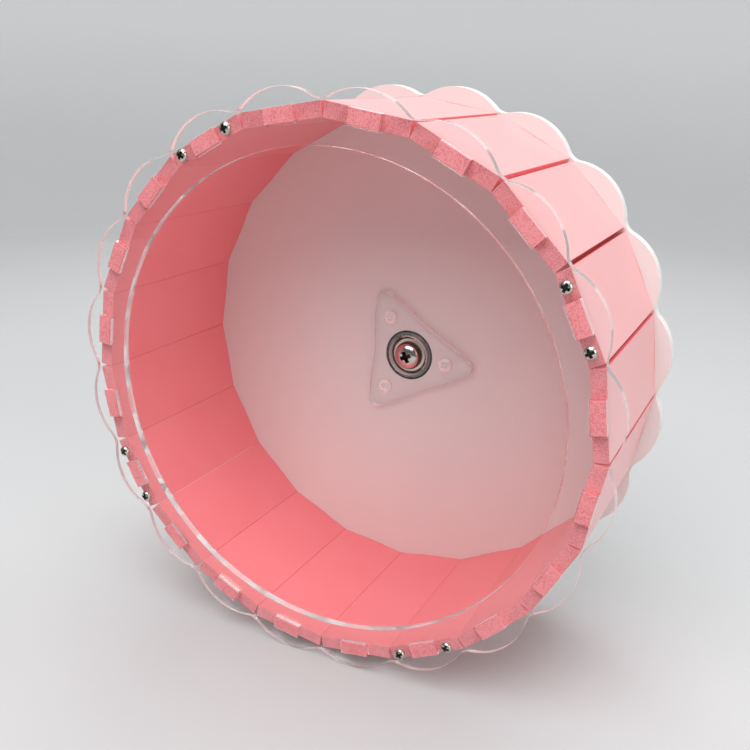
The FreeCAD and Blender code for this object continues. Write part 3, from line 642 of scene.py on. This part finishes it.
def metal_finish(name, bright, dull, gloss, worn, marks):
    """Metal: two tones, the roughness of each, and how deep its turning marks are."""
    finish, tree, shader = new_finish(name, Metallic=1.0)
    smudge = place_group(tree, SMUDGES, Patch=4 * MM)["Smudge"]
    height = place_group(tree, TURNING_MARKS)["Height"]
    bump = add_node(tree, "ShaderNodeBump", {"Strength": marks, "Distance": 0.02 * MM, "Height": height})
    # Faces marked as recess take the painted shade.
    painted_shade = face_mask(tree, "recess")
    plain = mix_colour(tree, smudge, bright, dull)
    rough = mix_value(tree, smudge, gloss, worn)
    tree.links.new(mix_colour(tree, painted_shade, plain, PAINTED_SHADE_COLOUR), shader.inputs["Base Color"])
    tree.links.new(mix_value(tree, painted_shade, rough, PAINTED_SHADE_ROUGHNESS), shader.inputs["Roughness"])
    tree.links.new(bump.outputs["Normal"], shader.inputs["Normal"])
    return finish


NICKEL = metal_finish("nickel_steel", bright=(0.62, 0.58, 0.55, 1), dull=(0.48, 0.44, 0.41, 1),
                      gloss=0.15, worn=0.3, marks=0.05)
BEARING_STEEL = metal_finish("bearing_steel", bright=(0.16, 0.125, 0.115, 1), dull=(0.1, 0.078, 0.07, 1),
                             gloss=0.2, worn=0.35, marks=0.5)
SLEEVE_METAL = metal_finish("sleeve_metal", bright=(0.9, 0.79, 0.68, 1), dull=(0.8, 0.69, 0.58, 1),
                            gloss=0.45, worn=0.55, marks=0.3)
CAGE_BRASS = metal_finish("cage_brass", bright=(0.7, 0.5, 0.24, 1), dull=(0.55, 0.38, 0.18, 1),
                          gloss=0.3, worn=0.45, marks=0.1)
RIM_PLATE = metal_finish("bright_plate", bright=(0.6, 0.56, 0.51, 1), dull=(0.5, 0.46, 0.42, 1),
                         gloss=0.25, worn=0.4, marks=0.05)
RIM_PLATE["slot"] = NICKEL["slot"]
print("finishes:", NICKEL.name, RIM_PLATE.name, BEARING_STEEL.name, SLEEVE_METAL.name, CAGE_BRASS.name)

# %% [markdown]
# ## Screws
# All screws have a domed head with a cross recess. The cross is drawn first, and loops are extruded from
# it: out to the head's rim and lifted to a dome, then under the head, along the shank and in at its end.
# The cross is sunk last, with a taper. Each set of equal screws is one piece, with every cross turned to
# a different angle, as a fitter leaves them.

# %% Draw a cross-head screw
DOME_SHARES = (0.12, 0.35, 0.6, 0.8, 0.94, 1.0)
SKIRT_SHARE = 0.25
POINT_SHARE = 0.3
RECESS_SHARE = 0.5
RECESS_TAPER = 0.7
EASE_SHARE = 0.04
FIRST_CROSS_DEGREES, NEXT_CROSS_DEGREES = 25, 41


def next_loop(bm, loop, y, radius=None):
    """Extrudes a loop of edges to a height, and to a round of a radius where one is given."""
    new = vertices_in(bmesh.ops.extrude_edge_only(bm, edges=loop)["geom"])
    for vertex in new:
        flat = Vector((vertex.co.x, 0, vertex.co.z))
        vertex.co = (flat if radius is None else flat.normalized() * radius) + SPIN_AXIS * y
    return edges_among(bm, new)


def sink_cross(bm, mouth, depth):
    """Sinks a cross from its outline, a little narrower at its floor, and marks it as a recess for painted
    shade.
    """
    made = bmesh.ops.extrude_edge_only(bm, edges=mouth)["geom"]
    floor = vertices_in(made)
    bmesh.ops.scale(bm, verts=floor, vec=(RECESS_TAPER, 1, RECESS_TAPER))
    bmesh.ops.translate(bm, verts=floor, vec=SPIN_AXIS * depth)
    filled = bmesh.ops.edgeloop_fill(bm, edges=edges_among(bm, floor))
    recess = bm.faces.layers.float["recess"]
    for face in [item for item in made if isinstance(item, bmesh.types.BMFace)] + filled["faces"]:
        face[recess] = 1


def cross_screw(head_radius, head_height, shank_radius, shank_length, cross_reach, arm):
    """Screw along the spin axis, its head in front of the origin; arm is half the width of a bar."""
    bm = bmesh.new()
    bm.faces.layers.float.new("recess")
    corners = [Vector(corner) for corner in ((-arm, 0, arm), (-arm, 0, cross_reach), (arm, 0, cross_reach))]
    quarters = [about_axis(quarter * math.pi / 2) for quarter in range(4)]
    chain(bm, [quarter @ corner for quarter in quarters for corner in corners], closed=True)
    bmesh.ops.subdivide_edges(bm, edges=bm.edges[:], cuts=3)
    mouth = loop = bm.edges[:]
    tips = math.hypot(arm, cross_reach)
    for share in DOME_SHARES:
        loop = next_loop(bm, loop, 0, tips + (head_radius - tips) * share)
    skirt = head_height * SKIRT_SHARE
    for vertex in bm.verts:
        out = min(1, radius_of(vertex.co) / head_radius)
        vertex.co.y = -skirt - (head_height - skirt) * math.sqrt(1 - out ** 2)
    point = shank_radius * POINT_SHARE
    for y, radius in ((0, head_radius), (0, shank_radius), (shank_length - point, shank_radius),
                      (shank_length, shank_radius - point)):
        loop = next_loop(bm, loop, y, radius)
    bmesh.ops.edgeloop_fill(bm, edges=loop)
    sink_cross(bm, mouth, head_height * RECESS_SHARE)
    bmesh.ops.recalc_face_normals(bm, faces=bm.faces[:])
    ease(bm, cross_reach * EASE_SHARE)
    return bm


def set_of(bm, places, depth, flipped=False):
    """Copies a screw or nut to several places at a depth, each turned to another angle."""
    single = bpy.data.meshes.new("single")
    bm.to_mesh(single)
    bm.clear()
    for number, place in enumerate(places):
        before = set(bm.verts)
        bm.from_mesh(single)
        new = [vertex for vertex in bm.verts if vertex not in before]
        turn = math.radians(FIRST_CROSS_DEGREES + NEXT_CROSS_DEGREES * number)
        bmesh.ops.rotate(bm, verts=new, cent=ORIGIN, matrix=about_axis(turn))
        if flipped:
            bmesh.ops.rotate(bm, verts=new, cent=ORIGIN, matrix=Matrix.Rotation(math.pi, 3, UP))
        bmesh.ops.translate(bm, verts=new, vec=place + SPIN_AXIS * depth)
    bpy.data.meshes.remove(single)
    return bm


# %% Make the rim screws
RIM_SCREW = dict(head_radius=2.1 * MM, head_height=1.5 * MM, shank_radius=1.15 * MM, shank_length=12 * MM,
                 cross_reach=1.45 * MM, arm=0.5 * MM)
keep_piece(set_of(cross_screw(**RIM_SCREW), RIM_PLACES, RING_FRONT), "front_rim_screws", "rim_screws_front",
           RIM_PLATE)
keep_piece(set_of(cross_screw(**RIM_SCREW), RIM_PLACES, DISC_BACK, flipped=True), "rear_rim_screws",
           "rim_screws_rear", RIM_PLATE)

# %% [markdown]
# ## Threads
# A thread is a ridge that climbs as it winds. A small triangle is spun round the axis with a little lift
# at each step, which makes a closed coil on the screw's core. The axle bolt has its free thread behind
# the nut, and the hub's plastic screws end in a short thread behind theirs.

# %% Wind a thread
THREAD_STEPS = 24
ROOT_SHARE = 0.95
RIDGE_WIDTH = 0.85
CREST_PLACE = 0.42


def wind_thread(bm, core, crest, start, end, pitch):
    """Ridge from start to end along the spin axis, thin at both ends; its width is a share of the pitch."""
    root = core * ROOT_SHARE
    first = [bm.verts.new((root, start, 0)), bm.verts.new((root, start + RIDGE_WIDTH * pitch, 0)),
             bm.verts.new((crest, start + CREST_PLACE * pitch, 0))]
    ridge = bm.faces.new(first)
    turns = (end - start - RIDGE_WIDTH * pitch) / pitch
    spun = bmesh.ops.spin(bm, geom=[ridge, *ridge.edges, *ridge.verts], cent=ORIGIN, axis=SPIN_AXIS,
                          dvec=SPIN_AXIS * (pitch / THREAD_STEPS), angle=math.tau * turns,
                          steps=round(THREAD_STEPS * turns))
    for vertices in (first, vertices_in(spun["geom_last"])):
        tip = max(vertices, key=lambda vertex: radius_of(vertex.co))
        share = root / radius_of(tip.co)
        bmesh.ops.scale(bm, verts=[tip], vec=(share, 1, share))


# %% Make the axle bolt
BOLT_FRONT, BOLT_END = depths("axle_bolt")
BOLT_HEAD_HEIGHT = 4.2 * MM
BOLT_CORE = 2.62 * MM
BOLT_CREST = 3 * MM
BOLT_PITCH = 1 * MM
BOLT_THREAD_START = 0.1 * MM
BOLT_PLAIN_END = 0.5 * MM
BOLT_TURN = math.radians(-25)
SKIRT_RADIUS = 5.3 * MM
# Share of painted shade on the skirt of the bolt's head, which stands in for the shadow under it.
SKIRT_PAINTED_SHADE = 0.85
bolt = cross_screw(head_radius=5.9 * MM, head_height=BOLT_HEAD_HEIGHT, shank_radius=BOLT_CORE,
                   shank_length=BOLT_END - BOLT_FRONT - BOLT_HEAD_HEIGHT, cross_reach=2.5 * MM,
                   arm=0.85 * MM)
# The skirt of the head is marked for painted shade.
painted_shade = bolt.faces.layers.float["recess"]
for face in bolt.faces:
    if radius_of(face.calc_center_median()) > SKIRT_RADIUS:
        face[painted_shade] = SKIRT_PAINTED_SHADE
bmesh.ops.rotate(bolt, verts=bolt.verts[:], cent=ORIGIN, matrix=about_axis(BOLT_TURN))
bmesh.ops.translate(bolt, verts=bolt.verts[:], vec=SPIN_AXIS * (BOLT_FRONT + BOLT_HEAD_HEIGHT))
wind_thread(bolt, BOLT_CORE, BOLT_CREST, BOLT_THREAD_START, BOLT_END - BOLT_PLAIN_END, BOLT_PITCH)
bmesh.ops.recalc_face_normals(bolt, faces=bolt.faces[:])
keep_piece(bolt, "pan_head_bolt", "axle_bolt", NICKEL)

# %% Make the hub screws
HUB_FRONT = depths("hub_plate_front")[0]
HUB_NUT_FRONT, HUB_NUT_BACK = depths("hub_nuts")
HUB_SCREW_LENGTH = depths("hub_screws")[1] - HUB_FRONT
HUB_CORE = 1.3 * MM
HUB_CREST = 1.5 * MM
HUB_PITCH = 0.5 * MM
HUB_PLAIN_END = 0.3 * MM
hub_screw = cross_screw(head_radius=3 * MM, head_height=2 * MM, shank_radius=HUB_CORE,
                        shank_length=HUB_SCREW_LENGTH, cross_reach=1.5 * MM, arm=0.5 * MM)
wind_thread(hub_screw, HUB_CORE, HUB_CREST, HUB_NUT_BACK - HUB_FRONT, HUB_SCREW_LENGTH - HUB_PLAIN_END,
            HUB_PITCH)
bmesh.ops.recalc_face_normals(hub_screw, faces=hub_screw.faces[:])
keep_piece(set_of(hub_screw, HUB_PLACES, HUB_FRONT), "clear_screws", "hub_screws", CLEAR_NYLON)

# %% [markdown]
# ## Nuts
# A nut is a hexagon whose corners are turned off to a cone, which leaves a curved line on each side. Each
# side is divided, so that the corner line can follow that curve, and the loop is drawn on over the face,
# down the bore and back. The axle's nut carries a flange, and its far mouth is countersunk for the bolt's
# thicker free thread.

# %% Draw a nut
TURNED_SHARE = 0.97
TURNED_SLOPE = 0.5
FLANGE_EASE = 0.2 * MM
FLANGE_RISE = 0.05 * MM
FLANGE_FOOT = 0.1 * MM


def turn_corners(loop, inner, slope):
    """Lowers a loop's corners to a cone that starts at an inner radius."""
    for vertex in {vertex for edge in loop for vertex in edge.verts}:
        vertex.co.y += slope * max(0, radius_of(vertex.co) - inner)


def hexagon_nut(across, bore, mouth, front, back, flange_radius=0, flange_height=0):
    """Nut between two heights along the spin axis, with a flange at its back where one is given."""
    bm = bmesh.new()
    corner = across / math.sqrt(3)
    bmesh.ops.create_circle(bm, segments=6, radius=corner)
    bmesh.ops.rotate(bm, verts=bm.verts[:], cent=ORIGIN, matrix=Matrix.Rotation(math.pi / 2, 3, "X"))
    bmesh.ops.subdivide_edges(bm, edges=bm.edges[:], cuts=7)
    foot = back - flange_height
    bmesh.ops.translate(bm, verts=bm.verts[:], vec=SPIN_AXIS * foot)
    first = bm.edges[:]
    turned = across / 2 * TURNED_SHARE
    chamfer = mouth - bore
    rounds = [(front, turned), (front, mouth), (front + chamfer, bore), (back - chamfer, bore),
              (back, mouth)]
    if flange_radius:
        rounds += [(back, flange_radius - FLANGE_EASE), (back - FLANGE_EASE, flange_radius),
                   (back - flange_height / 2, flange_radius), (foot - FLANGE_RISE, corner + FLANGE_FOOT)]
    else:
        rounds.append((back, turned))
        turn_corners(first, turned, -TURNED_SLOPE)
    loop = next_loop(bm, first, front)
    turn_corners(loop, turned, TURNED_SLOPE)
    for y, radius in rounds:
        loop = next_loop(bm, loop, y, radius)
    bmesh.ops.bridge_loops(bm, edges=loop + first)
    bmesh.ops.recalc_face_normals(bm, faces=bm.faces[:])
    return bm


# %% Make the nuts
NUT_FRONT, NUT_BACK = depths("axle_nut")
axle_nut = hexagon_nut(across=10 * MM, bore=2.7 * MM, mouth=3.37 * MM, front=NUT_FRONT, back=NUT_BACK,
                       flange_radius=radii("axle_nut")[1], flange_height=1.2 * MM)
keep_piece(axle_nut, "flange_nut", "axle_nut", NICKEL)

hub_nut = hexagon_nut(across=5.5 * MM, bore=1.52 * MM, mouth=1.8 * MM, front=0,
                      back=HUB_NUT_BACK - HUB_NUT_FRONT)
keep_piece(set_of(hub_nut, HUB_PLACES, HUB_NUT_FRONT), "clear_nuts", "hub_nuts", CLEAR_NYLON)

# %% [markdown]
# ## Bearing, sleeve and spacer
# These are turned pieces, so each is a closed outline of radius and height spun round the axis. The
# bearing's two rings have a groove for the balls, drawn as an arc about the ball's centre, and its
# shields are thin pressed sheet with a shallow groove. Balls and cage are hidden behind them and keep the
# frame's own shape.

# %% Turn the bearing
BEARING_FRONT, BEARING_BACK = depths("bearing_outer_ring")
BEARING_OUTSIDE = radii("bearing_outer_ring")[1]
BEARING_BORE = radii("bearing_inner_ring")[0]
BALL_CIRCLE = 8.25 * MM
GROOVE_RADIUS = 1.25 * MM
LAND_STEP = 1.0 * MM
OUTER_LAND = BALL_CIRCLE + LAND_STEP
INNER_LAND = BALL_CIRCLE - LAND_STEP
OUTER_SEAT = OUTER_LAND + 0.4 * MM
INNER_SEAT = INNER_LAND - 0.1 * MM
SHIELD_DEPTH = 0.5 * MM
RACE_EASE = 0.12 * MM


def spin_outline(bm):
    """Closes an outline by spinning it a full turn round the axle."""
    bmesh.ops.spin(bm, geom=bm.verts[:] + bm.edges[:], cent=ORIGIN, axis=SPIN_AXIS, angle=math.tau, steps=96,
                   use_merge=True)
    bmesh.ops.recalc_face_normals(bm, faces=bm.faces[:])


def turned_ring(points, eased):
    """Ring from a closed outline of radius and height."""
    bm = bmesh.new()
    chain(bm, [(radius, y, 0) for radius, y in points], closed=True)
    spin_outline(bm)
    ease(bm, eased)
    return bm


def bearing_ring(land, seat, wall):
    """Ring with a ball groove in its land; seat is where the shield's edge sits."""
    bm = bmesh.new()
    middle = (BEARING_FRONT + BEARING_BACK) / 2
    half = math.sqrt(GROOVE_RADIUS ** 2 - (land - BALL_CIRCLE) ** 2)
    sweep = math.copysign(2 * math.asin(half / GROOVE_RADIUS), land - BALL_CIRCLE)
    start = bm.verts.new((land, middle - half, 0))
    end = arc(bm, start, (BALL_CIRCLE, middle, 0), UP, sweep, steps=12)
    shield_front, shield_back = BEARING_FRONT + SHIELD_DEPTH, BEARING_BACK - SHIELD_DEPTH
    rest = chain(bm, [(radius, y, 0) for radius, y in (
        (land, shield_back), (seat, shield_back), (seat, BEARING_BACK), (wall, BEARING_BACK),
        (wall, BEARING_FRONT), (seat, BEARING_FRONT), (seat, shield_front), (land, shield_front))])
    bm.edges.new((end, rest[0]))
    bm.edges.new((rest[-1], start))
    spin_outline(bm)
    ease(bm, RACE_EASE, sharper_than=60)
    return bm


keep_piece(bearing_ring(OUTER_LAND, OUTER_SEAT, BEARING_OUTSIDE), "outer_race", "bearing_outer_ring",
           BEARING_STEEL)
keep_piece(bearing_ring(INNER_LAND, INNER_SEAT, BEARING_BORE), "inner_race", "bearing_inner_ring",
           BEARING_STEEL)

# %% Press the shields
SHIELD_LIP = 0.55 * MM
SHIELD_SLOPE = 0.2 * MM
SHIELD_GROOVE = 0.12 * MM
SHIELD_EASE = 0.03 * MM
for node, inwards in (("bearing_shield_front", 1), ("bearing_shield_rear", -1)):
    face, rear = depths(node)[::inwards]
    edge, rim = radii(node)
    groove = face + inwards * SHIELD_GROOVE
    inner_lip, outer_lip = edge + SHIELD_LIP, rim - SHIELD_LIP
    shield = turned_ring([
        (edge, face), (inner_lip, face), (inner_lip + SHIELD_SLOPE, groove),
        (outer_lip - SHIELD_SLOPE, groove), (outer_lip, face), (rim, face), (rim, rear), (edge, rear)],
        SHIELD_EASE)
    keep_piece(shield, "pressed_" + node, node, BEARING_STEEL)
for node, finish in (("bearing_balls", BEARING_STEEL), ("bearing_cage", CAGE_BRASS)):
    frame["nodes"][node].material_slots[0].material = finish
    print(node, "keeps its shape and takes", finish.name)

# %% Turn the sleeve and the spacer
SLEEVE_FRONT, SLEEVE_BACK = depths("axle_sleeve")
SLEEVE_HOLE, SLEEVE_FLANGE = radii("axle_sleeve")
SLEEVE_WALL = BEARING_BORE - 0.02 * MM
SLEEVE_EASE = 0.12 * MM
sleeve = turned_ring([
    (SLEEVE_HOLE, SLEEVE_FRONT), (SLEEVE_FLANGE, SLEEVE_FRONT), (SLEEVE_FLANGE, BEARING_FRONT),
    (SLEEVE_WALL, BEARING_FRONT), (SLEEVE_WALL, SLEEVE_BACK), (SLEEVE_HOLE, SLEEVE_BACK)], SLEEVE_EASE)
keep_piece(sleeve, "flanged_sleeve", "axle_sleeve", SLEEVE_METAL)

SPACER_FRONT, SPACER_BACK = depths("axle_spacer")
SPACER_HOLE, SPACER_WALL = radii("axle_spacer")
SPACER_EASE = 0.3 * MM
spacer = turned_ring([
    (SPACER_HOLE, SPACER_FRONT), (SPACER_WALL, SPACER_FRONT), (SPACER_WALL, SPACER_BACK),
    (SPACER_HOLE, SPACER_BACK)], SPACER_EASE)
keep_piece(spacer, "turned_spacer", "axle_spacer", SLEEVE_METAL)

# %% [markdown]
# ## Floor and backdrop
# The wheel stands on its scalloped rims on a plain pale floor. The floor is a wide round that curves up
# into a wall on all sides, so that paper fills the picture from every side. The wall is one outline spun
# half a turn round the upright for the back, and another half for the front. A studio is dark behind the
# camera, so the front half is seen but throws no light back: the drum's inside and the metals keep their
# depth.

# %% Mix the paper
FLOOR = CAD_BOX[0].z
COVE_MIDDLE = (CAD_BOX[0] + CAD_BOX[1]) / 2
WALL_TONE_HEIGHT = 0.35


def paper_finish(floor_tones, wall_tones):
    """Matt paper, a little darker on the floor than on the wall as painted light, with two tones of each in
    slow patches.
    """
    finish, tree, shader = new_finish("pale_paper", Roughness=0.9, Specular_IOR_Level=0.2)
    patch = place_group(tree, BOARD_SKIN, Patch=0.25, Grain=2 * MM)["Tone"]
    place = add_node(tree, "ShaderNodeTexCoord").outputs["Object"]
    height = add_node(tree, "ShaderNodeSeparateXYZ", {0: place}).outputs["Z"]
    wall = add_node(tree, "ShaderNodeMapRange", {
        "Value": height, "From Min": FLOOR, "From Max": FLOOR + WALL_TONE_HEIGHT},
        interpolation_type="SMOOTHSTEP").outputs["Result"]
    tones = [mix_colour(tree, wall, low, high) for low, high in zip(floor_tones, wall_tones)]
    tree.links.new(mix_colour(tree, patch, *tones), shader.inputs["Base Color"])
    return finish


# The floor's darker tones and the wall's paler ones are painted light: they even out the stronger light that
# the lamps throw on the floor.
PAPER = paper_finish(floor_tones=((0.605, 0.615, 0.62, 1), (0.585, 0.595, 0.6, 1)),
                     wall_tones=((0.82, 0.83, 0.84, 1), (0.8, 0.81, 0.82, 1)))

# %% Make the cove
COVE_RADIUS = 1.0
COVE_BEND = 0.7
COVE_HEIGHT = 1.6


def cove_sheet(name, bm):
    """Stores a sheet of the cove under the wheel."""
    bmesh.ops.translate(bm, verts=bm.verts[:], vec=(COVE_MIDDLE.x, COVE_MIDDLE.y, FLOOR))
    mesh = bpy.data.meshes.new(name)
    bm.to_mesh(mesh)
    bm.free()
    mesh.shade_smooth()
    mesh.materials.append(PAPER)
    sheet = bpy.data.objects.new(name, mesh)
    bpy.context.scene.collection.objects.link(sheet)
    return sheet


def cove_wall(name, sweep):
    """Wall that curves up from the floor's rim, swept round the upright."""
    bm = bmesh.new()
    rim = bm.verts.new((COVE_RADIUS, 0, 0))
    top = arc(bm, rim, (COVE_RADIUS, 0, COVE_BEND), -SPIN_AXIS, math.pi / 2, steps=16)
    bm.edges.new((top, bm.verts.new((COVE_RADIUS + COVE_BEND, 0, COVE_HEIGHT))))
    bmesh.ops.spin(bm, geom=bm.verts[:] + bm.edges[:], cent=ORIGIN, axis=UP, angle=sweep, steps=48)
    return cove_sheet(name, bm)


floor = bmesh.new()
bmesh.ops.create_circle(floor, cap_ends=True, segments=96, radius=COVE_RADIUS)
cove_sheet("floor", floor)
cove_wall("back_wall", math.pi)
front_wall = cove_wall("front_wall", -math.pi)
front_wall.visible_diffuse = False
front_wall.visible_glossy = False
print("floor at", round(FLOOR / MM, 2), "mm")

# %% [markdown]
# ## Light
# The light is broad and soft, as in a small studio: a large panel in front shines down into the drum, one
# overhead gives the boards their sheen, a weak one at the side reaches the inside of the far boards, a
# weaker one behind keeps the disc's back pale, and a faint even sky fills the shadows. The panels
# themselves stay out of the picture.

# %% Place the lamps
SKY_STRENGTH = 0.15


def soft_panel(name, place, size, power):
    """Square lamp at a place, facing the wheel's middle."""
    lamp = bpy.data.lights.new(name, "AREA")
    lamp.shape = "SQUARE"
    lamp.size = size
    lamp.energy = power
    panel = bpy.data.objects.new(name, lamp)
    panel.location = place
    panel.rotation_euler = (COVE_MIDDLE - Vector(place)).to_track_quat("-Z", "Y").to_euler()
    panel.visible_camera = False
    bpy.context.scene.collection.objects.link(panel)


soft_panel("panel_front", place=(-0.1, -0.85, 1.15), size=1.2, power=17)
soft_panel("panel_side", place=(1.1, -0.6, 0.45), size=0.8, power=5)
soft_panel("panel_back", place=(-0.4, 0.55, 0.8), size=0.4, power=1.5)
soft_panel("panel_above", place=(0.2, 0.2, 1.35), size=1.2, power=10)
sky = bpy.data.worlds.new("sky")
sky.use_nodes = True
sky.node_tree.nodes["Background"].inputs["Strength"].default_value = SKY_STRENGTH
sky.node_tree.nodes["Background"].inputs["Color"].default_value = WHITE
bpy.context.scene.world = sky
bpy.context.scene.view_settings.view_transform = "Standard"

# %% [markdown]
# ## Camera
# The camera stands to the right of the axle and a little above it, close enough for a strong perspective.
# Its place was found by fitting the slats' corners, the slots and the screws to the picture, and it is
# slid and rolled by the small amounts that the fit gave.

# %% Place the camera
AZIMUTH, ELEVATION, ROLL = math.radians(26.768), math.radians(23.889), math.radians(1.177)
CAMERA_DISTANCE = 339.46 * MM
SLIDE_RIGHT, SLIDE_UP = -4.08 * MM, -32.05 * MM
LENS = 42.24
SHIFT_X, SHIFT_Y = 0.0201, 0.1157
back = Vector((math.sin(AZIMUTH) * math.cos(ELEVATION), -math.cos(AZIMUTH) * math.cos(ELEVATION),
               math.sin(ELEVATION)))
level = Vector((math.cos(AZIMUTH), math.sin(AZIMUTH), 0))
above = back.cross(level)
right = level * math.cos(ROLL) + above * math.sin(ROLL)
upwards = above * math.cos(ROLL) - level * math.sin(ROLL)
mid_drum = SPIN_AXIS * (RING_BACK + DISC_FRONT) / 2
stand = mid_drum + back * CAMERA_DISTANCE + right * SLIDE_RIGHT + upwards * SLIDE_UP
view = bpy.data.cameras.new("camera")
view.lens = LENS
view.shift_x = SHIFT_X
view.shift_y = SHIFT_Y
camera = bpy.data.objects.new("camera", view)
camera.matrix_world = Matrix.Translation(stand) @ Matrix((right, upwards, back)).transposed().to_4x4()
bpy.context.scene.collection.objects.link(camera)
bpy.context.scene.camera = camera
print("camera at", [round(value / MM, 1) for value in stand], "mm")
